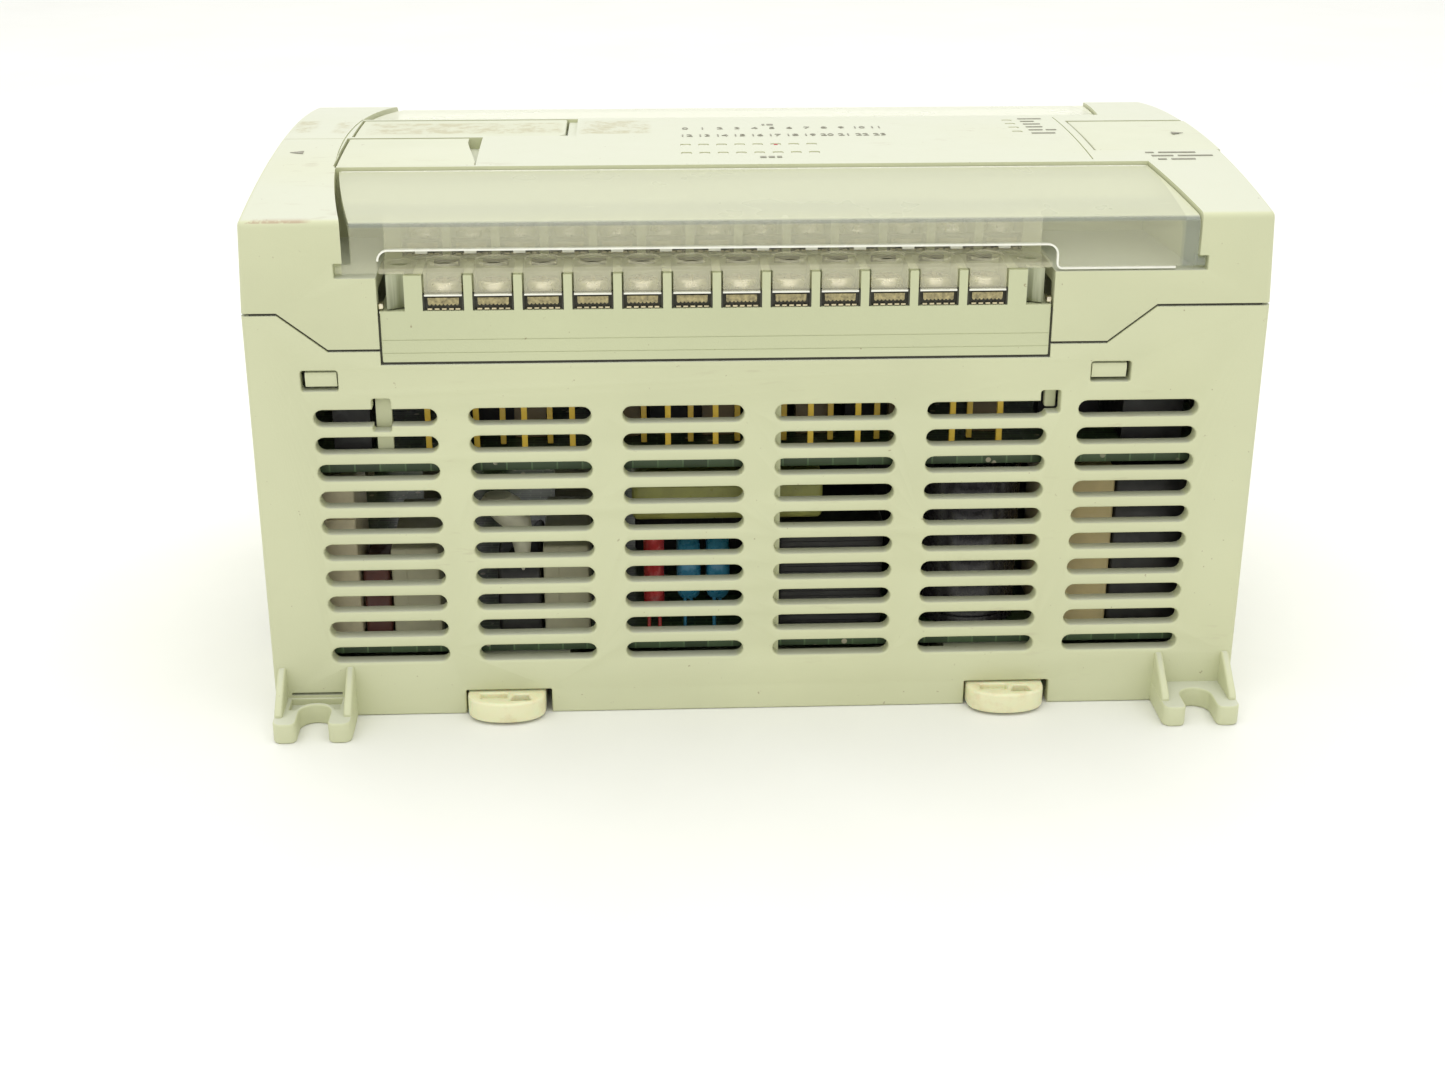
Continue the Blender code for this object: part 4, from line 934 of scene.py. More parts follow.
def make_covers():
    (low, high), (near, far) = ACCESS_SEAT
    lip = prism("X", high - 0.0044, high - 0.0032,
                crown_points(near + 0.0022, far - 0.0022, 0.0008, 8)
                + [(far - 0.0022, crown(far) - 0.0046), (near + 0.0022, crown(near) - 0.0046)])
    notch = [(-0.0473, 0.002), (-0.0473, -0.003), (-0.0469, -0.006), (-0.0464, -0.0092),
             (-0.0459, -0.0124), (-0.0454, -0.0155), (-0.045, -0.0176), (-0.043, -0.019),
             (-0.043, 0.002)]
    leaf = cover_leaf((low + 0.0004, high - 0.0002), (near + 0.0004, far - 0.0004))
    piece("access_lid", "access_door", [leaf], PANEL,
          [(ADD, [lip]), (CUT, [prism("Z", *PANEL_CUT_Z, notch)])])

    (low, high), (near, far) = MEMORY_SEAT
    end = high - 0.0004
    legs = [box(x, (0.007, 0.013), (0.08, 0.086))
            for x in ((low + 0.003, low + 0.0044), (-0.0342, -0.0328))]
    corner = [(end - 0.002, near - 0.001), (end - 0.002, near + GAP)]
    corner += arc((end - 0.002, near + GAP + 0.002), 0.002, -75, 0, 8) + [(end + 0.001, near + 0.0023)]
    corner += [(end + 0.001, near - 0.001)]
    leaf = cover_leaf((low + GAP, end), (near + GAP, far - GAP))
    piece("memory_lid", "memory_cover", [leaf], PANEL,
          [(ADD, legs), (CUT, [prism("Z", *PANEL_CUT_Z, corner)])])

    (low, _), (near, far) = BUS_SEAT
    right = HALF_LENGTH - END_DRAFT
    lip = prism("X", right - 0.0014, right - 0.0001,
                crown_points(-0.0101, 0.0101, 0.0008, 8) + [(0.0101, 0.0808), (-0.0101, 0.0808)])
    leaf = cover_leaf((low + 0.0004, right), (near + 0.0004, far - 0.0004))
    piece("bus_lid", "bus_cover", [leaf], PANEL, [(ADD, [lip])])


# ---------------------------------------------------------------- terminal doors

DOOR_BOTTOM_Z = 0.0755
DOOR_CUTOUT_Z = 0.0793
DOOR_CUTOUT_X = (-0.0588, 0.0461)
DOOR_PIN = (-0.044, 0.0761)


def make_doors():
    thick = 0.0016
    inner_y = FACE_Y + thick
    crease = 0.0016
    back = -PANEL_HALF - GAP
    profile = crown_points(back, FACE_Y + crease, DOOR_DROP, 24)
    centre = (FACE_Y + crease, crown(FACE_Y + crease) - DOOR_DROP - crease)
    profile += arc(centre, crease, 105, 180, 8)
    profile += arc((FACE_Y + 0.0004, DOOR_BOTTOM_Z + 0.0004), 0.0004, 180, 270, 4)
    profile += [(inner_y, DOOR_BOTTOM_Z)] + arc((inner_y + 0.0008, centre[1] - 0.001), 0.0008, 180, 110, 5)
    profile += crown_points(inner_y + 0.0012, back, DOOR_DROP + thick, 24)
    plan = door_plan(back, -0.046, 0.0006, 0.0009, GAP, 32)
    corner = 0.0018
    low, high = DOOR_CUTOUT_X
    cutout = [(low, 0.07)]
    cutout += arc((low + corner, DOOR_CUTOUT_Z - corner), corner, 180, 90, 8)
    cutout += arc((high - corner, DOOR_CUTOUT_Z - corner), corner, 90, 0, 8)
    cutout += [(high, 0.07)]
    left_end = recess_left(DOOR_PIN[0])
    right_end = recess_right(DOOR_PIN[0])
    pins = [bar("X", DOOR_PIN, 0.00075, left_end - 0.001, left_end + 0.003, 24),
            bar("X", DOOR_PIN, 0.00075, right_end - 0.003, right_end + 0.0011, 24)]
    foot = DOOR_BOTTOM_Z - 0.00003
    fillet = 0.0007
    path = arc((low + corner, DOOR_CUTOUT_Z - corner), corner, 180, 90, 8)
    path += arc((high - corner, DOOR_CUTOUT_Z - corner), corner, 90, 0, 8)
    path += arc((high + fillet, foot + fillet), fillet, 180, 270, 6)
    path += [(right_end - 0.0035, foot)]
    rear_z = crown(back) - DOOR_DROP
    # Cream strips along the cut-out rim and the rear edge of the door: painted highlight.
    rims = [strip("Y", FACE_Y + 0.0001, FACE_Y + 0.0008, path, 0.0003),
            box((recess_left(back) + 0.001, recess_right(back) - 0.0006), (back - 0.0004, back - 0.00005),
                (rear_z - 0.0002, rear_z + 0.00004))]
    for name, side in SIDES:
        node = name + "_terminal_door"
        piece(name + "_door_highlights", node, rims, HIGHLIGHT_PAINT, side=side)
        piece(name + "_door", node, [prism("X", -0.07, 0.07, profile)], CLEAR, side=side, angle=50,
              steps=[(KEEP, [prism("Z", 0.07, 0.09, plan)]),
                     (CUT, [flared("Y", FACE_Y, -0.0428, cutout, 0.00015)]), (ADD, pins)])


# ---------------------------------------------------------------- terminal blocks

def make_block(name, side):
    bottom = BAY_SILL_Z + 0.00045
    profile = [(FACE_Y, bottom), (FACE_Y, FRONT_TIER_Z), (TIER_Y, FRONT_TIER_Z), (TIER_Y, REAR_TIER_Z),
               (-0.0204, REAR_TIER_Z), (-0.0204, bottom)]
    half = CELL_WIDTH / 2
    left_end = (BAY_LEFT, RETAINING_X[0] + 0.0023)
    right_end = (RETAINING_X[1] - 0.0023, BAY_RIGHT)
    openings = [about(x, half) for x in FRONT_X] + [left_end, right_end]
    front = [prism("Y", -0.046, -0.0353, rectangle(x, (FRONT_FLOOR_Z, 0.0775))) for x in openings]
    skin_z = (FRONT_FLOOR_Z - 0.0002, FRONT_TIER_Z)
    skins = [box((RETAINING_X[0] + EAR_INNER, left_end[1] + 0.0002), SKIN_Y, skin_z),
             box((right_end[0] - 0.0002, RETAINING_X[1] - EAR_INNER), SKIN_Y, skin_z)]
    rear = [box(about(x, half), (-0.036, -0.024), (REAR_FLOOR_Z, 0.083)) for x in REAR_X]
    slots = [box((-0.0525, 0.039), about(FRONT_SCREW_Y, 0.0006), (0.06, 0.0697)),
             box((-0.0565, 0.0425), about(REAR_SCREW_Y, 0.0006), (0.06, 0.0755))]
    bores = [bar("Z", (x, FRONT_SCREW_Y), 0.0013, 0.06, 0.0705, 20) for x in RETAINING_X]
    mould_lines = [box((-0.06, 0.046), (-0.046, FACE_Y + 0.00008), about(z, 0.00007))
                   for z in (0.065, 0.0629)]
    body = [soft("X", BAY_LEFT + GAP, BAY_RIGHT - GAP, profile, 0.00025, 2)]
    piece(name + "_block", name + "_terminal_block", body, BLOCK, side=side, steps=[
        (CUT, front), (CUT, rear), (CUT, slots), (CUT, bores), (ADD, skins), (CUT, mould_lines)])


def make_gaskets():
    """Dark strips that paint the shade in the seam and in the gap around each terminal block."""
    depth = (-HALF_DEPTH + 0.0004, -HALF_DEPTH + 0.0012)
    half = SEAM_GAP * 0.8
    line = seam_line(half)
    end = HALF_LENGTH - 0.0012
    seam_strips = [strip("Y", *depth, [(-end, line[1][1])] + line[1:4], half * 2),
            strip("Y", *depth, line[4:7] + [(end, line[6][1])], half * 2)]
    across = [box((sign * HALF_LENGTH - sign * 0.0012, sign * HALF_LENGTH - sign * 0.0008),
                  (-HALF_DEPTH + 0.0012, HALF_DEPTH - 0.0012), about(SEAM_END_Z, half)) for sign in (-1, 1)]
    beside = (BAY_SILL_Z + 0.00045, 0.069)
    under = [box((BAY_LEFT, BAY_RIGHT), depth, (BAY_SILL_Z + 0.00003, BAY_SILL_Z + 0.00042)),
             box((BAY_LEFT + 0.00003, BAY_LEFT + 0.00027), depth, beside),
             box((BAY_RIGHT - 0.00027, BAY_RIGHT - 0.00003), depth, beside)]
    piece("seam_shade", "base_housing", both(seam_strips) + across + both(under), SHADE)


def screw_model(head_radius, head_height, shank_radius, shank_length):
    """Binding-head screw with a combined cross and slot recess; the head stands on Z = 0."""
    head = dome("Z", (0, 0), head_radius, 0.0, head_height, head_height * 0.45, 32)
    shank = bar("Z", (0, 0), shank_radius, -shank_length, 0.0003, 20)
    blade = head_radius * 0.98
    slot = box((-blade, blade), (-0.00032, 0.00032), (head_height * 0.55, 0.004))
    cross = box((-0.00036, 0.00036), about(0.0, head_radius * 0.62), (head_height * 0.4, 0.004))
    return model("screw", [head], [(ADD, [shank]), (CUT, [slot]), (CUT, [cross])])


def clamp_models():
    """Square washer, its ribbed and toothed lip, the contact under it, and a dark frame behind and beside
    it that paints the shade of the cell.
    """
    plate = soft("Z", 0.0014, 0.0021, rectangle(about(0.0, 0.0027), (-0.0036, 0.003), 0.0004), 0.00012, 2)
    teeth = [(0.0024, 0.002), (-0.0024, 0.002)]
    for index in range(8):
        x = -0.0024 + 0.0006 * index
        teeth += [(x + 0.00004, 0.00105), (x + 0.0002, 0.00085)]
        teeth += [(x + 0.0004, 0.00085), (x + 0.00056, 0.00105)]
    ribs = [box(about(-0.0021 + 0.0006 * index, 0.0001), (-0.0042, -0.004), (0.0012, 0.0018))
            for index in range(8)]
    base = soft("Z", 0.00005, 0.0004, rectangle(about(0.0, 0.0029), (-0.0031, 0.0032), 0.0002), 0.0001, 2)
    dashes = [box(about(x, 0.00035), (-0.0042, -0.0039), (0.00005, 0.0003))
              for x in (-0.0021, -0.001, 0.0001, 0.0012, 0.0022)]
    # Near-black boxes behind and beside the clamp: painted shade of the cell.
    back = box(about(0.0, 0.0031), (-0.0037, -0.0034), (0.0, 0.0026))
    side_shades = [box(about(x, 0.00012), (-0.0042, -0.0034), (0.0, 0.0026)) for x in (-0.003, 0.003)]
    return (("clamps", model("clamp", [plate]), STEEL, 0.0),
            ("contacts", model("contact", [base] + dashes), STEEL, 0.0001),
            ("lips", model("lip", [prism("Y", -0.0041, -0.0038, teeth)], [(ADD, ribs)]), BRASS, 0.0),
            ("shade_boxes", model("frame", [back] + side_shades), SHADE, 0.0001))


def make_terminals(name, side):
    parts = clamp_models() + (("screws", screw_model(0.0026, 0.0017, 0.0015, 0.002), BRIGHT, 0.0021),)
    rows = (("front", FRONT_X, FRONT_SCREW_Y, FRONT_FLOOR_Z),
            ("rear", REAR_X, REAR_SCREW_Y, REAR_FLOOR_Z))
    for row, places, y, floor in rows:
        for part, source, material, rise in parts:
            spread(name + "_" + row + "_" + part, name + "_" + row + "_terminals", source,
                   [(x, y, floor + rise) for x in places], material, side)
    keeper = screw_model(0.002, 0.0021, 0.001, 0.008)
    for index, x in enumerate(RETAINING_X):
        node = name + "_retaining_screw_" + str(index)
        outer = x + math.copysign(0.0028, x)
        outline = rectangle(about(outer, 0.0004), (FACE_Y + 0.0004, FACE_Y + 0.002), 0.0002)
        clip = soft("Z", FRONT_FLOOR_Z + 0.0002, FRONT_FLOOR_Z + 0.0011, outline, 0.0002, 2)
        piece(name + "_keeper_clip_" + str(index), node, [clip], BRIGHT, side=side)
        place = (x, FRONT_SCREW_Y, FRONT_FLOOR_Z + GAP)
        spread(name + "_keeper_" + str(index), node, keeper, [place], BRIGHT, side)
    for source in [part[1] for part in parts] + [keeper]:
        bpy.data.objects.remove(source)


def make_guard(name, side):
    """Clear guard: stepped sheet with skirts, screwdriver collars and ports, painted highlights on its
    edges, dark strips of painted shade, and ears.
    """
    sheet = 0.0008
    front_z = FRONT_TIER_Z + GAP
    rear_z = REAR_TIER_Z + GAP
    front_top = front_z + sheet
    rear_top = rear_z + sheet
    riser = TIER_Y - 0.0011
    edge = FACE_Y + 0.0001
    profile = [(edge, front_z), (edge, front_top), (riser, front_top), (riser, rear_top),
               (-0.0235, rear_top), (-0.0235, rear_z), (riser + sheet, rear_z), (riser + sheet, front_z)]
    skirt = rectangle((FACE_Y + 0.0002, FACE_Y + 0.0009), (0.0722, front_z + 0.0004))
    skirt = [skirt[0], skirt[3], skirt[2], skirt[1]]
    skirts = [soft("X", x - 0.0029, x + 0.0029, skirt, 0.0001, 2) for x in FRONT_X]
    collars = []
    holes = []
    for places, y, low, stop in ((FRONT_X, FRONT_SCREW_Y, front_z, 0.0745),
                                 (REAR_X, REAR_SCREW_Y, rear_z, 0.08)):
        top = low + sheet + 0.0003
        collars += [bar("Z", (x, y), 0.0029, low + 0.0003, top, 32) for x in places]
        holes += [flared("Z", top, stop, circle((x, y), 0.0022, 32), 0.0002, 2) for x in places]
    holes += [flared("Z", front_top, 0.0745, circle((x, FRONT_SCREW_Y), 0.0019, 32), 0.0002, 2)
              for x in RETAINING_X]
    ports = [box((x + 0.0012, x + CELL_PITCH - 0.0012), (riser - 0.001, riser + 0.002),
                 (front_top + 0.0001, front_top + 0.0007)) for x in REAR_X]
    low_x = BAY_LEFT + GAP + 0.0002
    high_x = BAY_RIGHT - GAP - 0.0002

    ears = []
    front = FACE_Y + 0.0003
    for x in RETAINING_X:
        inward = 1 if x < 0 else -1
        outer = x - inward * 0.0018
        inner = x + inward * EAR_INNER
        hollow = [(outer, front + 0.0012), (outer, front)]
        hollow += [(outer + (inner - outer) * step / 8, front + 0.001 * math.sin(math.pi * step / 16) ** 2)
                   for step in range(1, 9)]
        hollow.append((inner, front + 0.0022))
        ears.append(soft("Z", 0.0698, front_z - 0.0001, hollow, 0.00015, 2))
    # Cream strips on the lugs of the rear step and along the skirt bottoms: painted highlight.
    rims = [box(about(x, 0.00095), (riser - 0.0009, riser - 0.00005), (0.0764, 0.0769)) for x in REAR_X]
    rims += [box(about(x, 0.0029), (edge, FACE_Y + 0.0011), (0.0719, 0.07215)) for x in FRONT_X]
    # Near-black strips behind the riser and on the back wall of each front cell: painted shade.
    shade_strips = []
    for x in REAR_X[:-1]:
        after = x + CELL_PITCH
        depth = (riser - 0.0002, riser - 0.00005)
        shade_strips.append(box((x + 0.0011, after - 0.0011), depth, (0.07665, 0.0771)))
        for place in ((x + 0.0011, x + 0.002), (after - 0.002, after - 0.0011)):
            shade_strips.append(box(place, (riser - 0.0004, riser - 0.00025), (0.0765, 0.0771)))
    shade_strips += [box(about(x, 0.002), (TIER_Y - 0.0012, TIER_Y - 0.001), (0.0742, 0.0752))
              for x in FRONT_X]
    node = name + "_finger_guard"
    piece(name + "_guard_highlights", node, rims, HIGHLIGHT_PAINT, side=side)
    piece(name + "_guard_shade_strips", node, shade_strips, SHADE, side=side)
    piece(name + "_guard_ears", node, ears, EAR, side=side)
    piece(name + "_guard", node, [soft("X", low_x, high_x, profile, 0.0002, 2)], CLEAR_GUARD, side=side,
          steps=[(ADD, skirts), (ADD, collars), (CUT, holes), (CUT, ports)])


def make_header(name, side):
    node = name + "_pin_header"
    shroud = soft("X", -0.0577, 0.0442, rectangle((-0.0412, -0.032), (0.0552, 0.0605)), 0.0003, 2)
    ribs = [box(about(x, 0.0012), (-0.0415, -0.0317), (0.0545, 0.056)) for x in FRONT_X]
    piece(name + "_header_bar", node, [shroud], BLACK, [(ADD, ribs)], side)
    pins = [soft("Z", 0.0438, 0.0556, rectangle(about(x, 0.00045), y), 0.0001, 1)
            for places, y in ((FRONT_X, (-0.0342, -0.0334)), (REAR_X, (-0.0404, -0.0396)))
            for x in places]
    piece(name + "_header_pins", node, pins, GOLD, side=side)


# ---------------------------------------------------------------- rail latches

def make_latches():
    for index in range(2):
        node = "din_latch_" + str(index)
        left = spans(node)[0][0] + LATCH_RAIL
        right = left + LATCH_WIDTH
        centre = left + LATCH_WIDTH / 2
        nose = []
        for step in range(33):
            angle = math.pi * step / 32
            across = centre - LATCH_WIDTH / 2 * math.cos(angle)
            nose.append((across, -0.0447 - 0.005 * math.sin(angle) ** 0.7))
        outline = [(left, -0.0182)] + nose + [(right, -0.0182)]
        tip = box((left + 0.0001, right - 0.0001), (-0.02, -0.0162), (0.0006, 0.0059))
        rails = [box(x, (-0.038, -0.024), (0.0019, 0.0031))
                 for x in ((left - LATCH_RAIL, left + 0.001), (right - 0.001, right + LATCH_RAIL))]
        slot = rounded([(left + 0.0071, -0.0482), (left + 0.0106, -0.0482), (left + 0.01, -0.046),
                        (left + 0.0077, -0.046)], 0.0003)
        thumb = rectangle((left + 0.0022, left + 0.0066), (-0.0474, -0.0455), 0.0004)
        pockets = [flared("Z", 0.004, 0.0014, slot, 0.0003), flared("Z", 0.004, 0.0031, thumb, 0.0003)]
        piece("rail_latch_" + str(index), node, [soft("Z", 0.0004, 0.004, outline, 0.0005, 4)], NYLON,
              [(ADD, [tip]), (ADD, rails), (CUT, pockets)])


# ---------------------------------------------------------------- boards and what stands on them

def chip(x, y, z, width, depth, height):
    return soft("Z", z, z + height, rectangle(about(x, width / 2), about(y, depth / 2)), 0.0002, 1)


def make_boards():
    corners = [(x, y) for x in (-0.0741, 0.0741) for y in (-0.037, 0.037)]
    for node in ("power_board", "processor_board", "display_board"):
        x, y, z = spans(node)
        bores = [bar("Z", corner, 0.001, 0.0, 0.08, 24) for corner in corners]
        piece(node + "_sheet", node, [soft("Z", *z, rectangle(x, y, 0.0006), 0.0001, 1)], BOARD,
              [(CUT, bores)] if node != "display_board" else ())
    node = "processor_board"
    top = spans(node)[2][1]
    chips = [chip(x, y, top, 0.0104, 0.0042, 0.003) for y in (-0.0215, 0.0215)
             for x in (-0.045, -0.012, 0.021, 0.054)]
    chips.append(chip(-0.0655, -0.026, top, 0.006, 0.02, 0.01))
    chips.append(chip(0.0655, -0.026, top, 0.01, 0.018, 0.009))
    piece("processor_chips", node, chips, BLACK)
    relays = [chip(x, -0.029, top, 0.0052, 0.003, 0.0098)
              for x in (-0.037, -0.0215, -0.006, 0.0095, 0.025, 0.039)]
    piece("processor_relays", node, both(relays), UMBER)


def make_port():
    node = "programming_port"
    place = (-0.059, -0.0095)
    top = 0.0805
    well = flared("Z", top, 0.0745, circle(place, 0.0042, 40), 0.0003)
    angles = [math.radians(angle) for angle in range(20, 380, 45)]
    pins = [bar("Z", (place[0] + 0.0025 * math.cos(angle), place[1] + 0.0025 * math.sin(angle)),
                0.00035, 0.0744, 0.079, 12) for angle in angles]
    body = dome("Z", place, 0.0052, spans(node)[2][0], top, 0.0004, 48)
    piece("port_body", node, [body], BLACK, [(CUT, [well])])
    piece("port_pins", node, pins, STEEL)


def make_switch():
    x, y, z = spans("run_switch_body")
    way = box(about(middle(x), 0.0009), about(middle(y), 0.003), (0.0755, 0.079))
    body = soft("Z", *z, rectangle(x, y, 0.0003), 0.0002)
    piece("switch_body", "run_switch_body", [body], BLACK, [(CUT, [way])])
    x, y, z = spans("run_switch_lever")
    piece("switch_lever", "run_switch_lever", [soft("Z", *z, rectangle(x, y, 0.0002), 0.0002)], CREAM)


def make_socket(node, mouth, floor):
    """Connector shell with two rows of contacts inside its mouth."""
    x, y, z = spans(node)
    pitch = 0.00127
    count = int((mouth[1][1] - mouth[1][0] - 0.0008) / pitch)
    start = (mouth[1][0] + mouth[1][1] - (count - 1) * pitch) / 2
    height = (floor - 0.0002, z[1] - 0.0012)
    contacts = [box(about(row, 0.00025), about(start + index * pitch, 0.0002), height)
                for index in range(count) for row in wider(mouth[0], -0.0006)]
    hollow = flared("Z", z[1], floor, rectangle(*mouth), 0.0002)
    shell = soft("Z", *z, rectangle(x, y, 0.0003), 0.0002)
    piece(node + "_shell", node, [shell], BLACK, [(CUT, [hollow])])
    piece(node + "_contacts", node, contacts, GOLD)


def make_lamps():
    places = led_places()
    for node, windows in (("output_light_guide", places[:16]), ("status_light_guide", places[16:])):
        x, y, z = spans(node)
        rods = [soft("Z", 0.082, crown(window[1]) - 0.0001,
                     rectangle(about(window[0], 0.00086), about(window[1], 0.00066), 0.0005), 0.0001, 2)
                for window in windows]
        piece(node + "_rods", node, [box(x, y, (z[0], 0.083))], LENS, [(ADD, rods)])
    lit = places[5]
    lamp = dome("Z", lit, 0.00035, 0.086, crown(lit[1]) + 0.00002, 0.0001, 20)
    piece("lit_lamp", "output_light_guide", [lamp], RED)


def make_display_parts():
    make_port()
    make_switch()
    node = "backup_battery"
    x, y, z = spans(node)
    sleeve = circle((middle(y), middle(z)), (z[1] - z[0]) / 2, 48)
    piece("battery_sleeve", node, [soft("X", *x, sleeve, 0.0007)], BLUE)
    make_socket("memory_socket", ((-0.0407, -0.0383), (0.006, 0.0142)), 0.0745)
    make_socket("bus_connector", ((0.0654, 0.0706), (-0.0078, 0.0078)), 0.0735)
    make_lamps()
    for node in ("display_link", "board_link"):
        x, y, z = spans(node)
        starts = [x[0] + step * 0.0025 for step in range(19)]
        ribs = [box((start + 0.001, start + 0.0018), y, wider(z, -0.001)) for start in starts]
        body = soft("X", *x, rectangle(wider(y, -0.0003), z), 0.0003, 1)
        piece(node + "_body", node, [body], BLACK, [(ADD, ribs)])


def boxed(node, material, edge=0.0004, cut=()):
    """Moulded or potted block the size of its node."""
    x, y, z = spans(node)
    body = soft("Z", *z, rectangle(x, y, edge), edge)
    piece(node + "_case", node, [body], material, [(CUT, cut)] if cut else ())


def grooves(node, levels, height, depth):
    """Level grooves across the face of a node."""
    x, y, _ = spans(node)
    return [box(wider(x, 0.001), (y[0] - 0.001, y[0] + depth), (z, z + height)) for z in levels]


def upright(node, start, width, z, depth):
    """Upright groove down the face of a node."""
    x, y, _ = spans(node)
    return box((x[0] + start, x[0] + start + width), (y[0] - 0.001, y[0] + depth), z)


def leads(node, places, length):
    z = spans(node)[2][0]
    return [bar("Z", place, 0.0003, z, z + length, 10) for place in places]


def make_capacitors():
    node = "red_capacitor"
    x, y, z = spans(node)
    body = soft("Z", z[0] + 0.0035, z[1], circle((middle(x), middle(y)), (x[1] - x[0]) / 2, 32), 0.0012)
    legs = leads(node, [(middle(x) + shift, middle(y)) for shift in (-0.0009, 0.0009)], 0.005)
    piece("red_capacitor_body", node, [body], RED, [(ADD, legs)])
    for index in range(2):
        node = "varistor_" + str(index)
        x, y, z = spans(node)
        disc = soft("X", *x, circle((middle(y), z[1] - 0.006), 0.006, 48), 0.0014)
        places = [(middle(x) + sign * 0.0006, middle(y) + sign * 0.0025) for sign in (-1, 1)]
        legs = leads(node, places, 0.007)
        piece(node + "_disc", node, [disc], BLUE, [(ADD, legs)])
        node = "bulk_capacitor_" + str(index)
        x, y, z = spans(node)
        centre = (middle(x), middle(y))
        radius = (x[1] - x[0]) / 2
        rings = [(z[0] + 0.0024, radius), (z[1] - 0.001, radius), (z[1] - 0.0003, radius - 0.0002),
                 (z[1], radius - 0.001), (z[1] - 0.0003, radius - 0.0014)]
        can = [bar("Z", centre, radius, z[0], z[0] + 0.0016, 48),
               bar("Z", centre, radius - 0.0004, z[0] + 0.0016, z[0] + 0.0024, 48),
               ("Z", [(level, circle(centre, size, 48)) for level, size in rings])]
        piece(node + "_can", node, can, SLEEVE)


def make_power_parts():
    boxed("line_filter", CREAM, 0.0006, grooves("line_filter", (0.017, 0.033), 0.0004, 0.0004))
    boxed("line_fuse", WINE, 0.0008, grooves("line_fuse", (0.015,), 0.0006, 0.0003))
    for index in range(4):
        node = "relay_" + str(index)
        seam = grooves(node, (0.0145,), 0.0003, 0.00015)
        seam.append(upright(node, 0.0024, 0.0003, (0.015, 0.028), 0.00015))
        boxed(node, RELAY, 0.0005, seam)
    boxed("filter_choke", BLACK, 0.0009)
    blob = [(0.0235, (-0.0386, -0.0391), 0.0002), (0.0262, (-0.0386, -0.0389), 0.0012),
            (0.03, (-0.0388, -0.038), 0.0019), (0.0322, (-0.0402, -0.0376), 0.003),
            (0.035, (-0.042, -0.0374), 0.0034), (0.0362, (-0.0424, -0.0374), 0.0022)]
    piece("filter_choke_compound", "filter_choke",
          [("Z", [(level, circle(place, size, 20)) for level, place, size in blob])], COMPOUND)
    boxed("line_choke", BLACK, 0.0007)
    mark = upright("film_capacitor", 0.0036, 0.0002, (0.012, 0.041), 0.0002)
    boxed("film_capacitor", TAN, 0.0007, [mark])
    laminations = [0.0126 + 0.0009 * step for step in range(19)]
    boxed("transformer_core", BLACK, 0.0003, grooves("transformer_core", laminations, 0.00015, 0.00012))
    turns = (0.0326, 0.0347, 0.0368)
    boxed("transformer_winding", TAPE, 0.0012, grooves("transformer_winding", turns, 0.0001, 0.0001))
    make_capacitors()
    x, y, z = spans("heat_sink")
    base_top = 0.0142
    fins = [rectangle((start, start + 0.0014), (base_top, z[1]))
            for start in [0.02 + 0.0035 * step for step in range(5)]]
    sections = fins + [rectangle(y, (z[0], base_top))]
    lengths = [soft("X", *x, section, 0.0002, 1) for section in sections]
    piece("heat_sink_fins", "heat_sink", lengths, METAL_SINK)
    for index in range(4):
        node = "board_spacer_" + str(index)
        x, y, z = spans(node)
        post = prism("Z", *z, circle((middle(x), middle(y)), (x[1] - x[0]) / 2, 6))
        piece(node + "_post", node, [post], STEEL)


# ---------------------------------------------------------------- printing on the front panel

NUMERAL_ROWS = (0.007, 0.0006)
NUMERAL_FIRST_X = -0.0102
NUMERAL_PITCH = 0.00304
NUMERAL_SIZE = 0.0024
INK_LEVELS = (0.0001, 0.00004)


def add_patch(mesh, outline):
    """A thin patch of ink that lies on the crown."""
    top, low = [[mesh.verts.new((x, y, crown(y) + level)) for x, y in outline] for level in INK_LEVELS]
    mesh.faces.new(top)
    mesh.faces.new(low[::-1])
    for index in range(len(outline)):
        following = (index + 1) % len(outline)
        mesh.faces.new((top[index], low[index], low[following], top[following]))


def ink_piece(name, node, outlines):
    mesh = bmesh.new()
    for outline in outlines:
        add_patch(mesh, outline)
    bmesh.ops.recalc_face_normals(mesh, faces=mesh.faces)
    dress(linked(name, mesh), node, INK, stands_in=False)


def bars(x, y, widths, height, gap=0.0004):
    """A line of blank bars that stands for a printed word; x is its left end."""
    outlines = []
    for width in widths:
        outlines.append(rectangle((x, x + width), (y - height / 2, y + height / 2)))
        x += width + gap
    return outlines


def triangle(x, y, width, height, point):
    return [(x, y - height / 2), (x + point * width, y), (x, y + height / 2)]


def numerals():
    """The numbers of the inputs, 0 to 23, in two rows above the lamp windows."""
    mesh = bmesh.new()
    for number in range(24):
        x = NUMERAL_FIRST_X + (number % 12) * NUMERAL_PITCH
        y = NUMERAL_ROWS[number // 12]
        curve = bpy.data.curves.new("numeral", "FONT")
        curve.body = str(number)
        curve.size = NUMERAL_SIZE
        curve.align_x = "CENTER"
        curve.align_y = "CENTER"
        curve.extrude = 0.00003
        curve.resolution_u = 3
        obj = bpy.data.objects.new("numeral", curve)
        bpy.context.scene.collection.objects.link(obj)
        depsgraph = bpy.context.evaluated_depsgraph_get()
        data = bpy.data.meshes.new_from_object(obj.evaluated_get(depsgraph))
        slope = math.atan2(crown(y + 0.0005) - crown(y - 0.0005), 0.001)
        data.transform(Matrix.Translation((x, y, crown(y) + 0.00006)) @ Matrix.Rotation(slope, 4, "X"))
        mesh.from_mesh(data)
        bpy.data.meshes.remove(data)
        bpy.data.objects.remove(obj)
        bpy.data.curves.remove(curve)
    dress(linked("numerals", mesh), "front_housing", INK, stands_in=False)


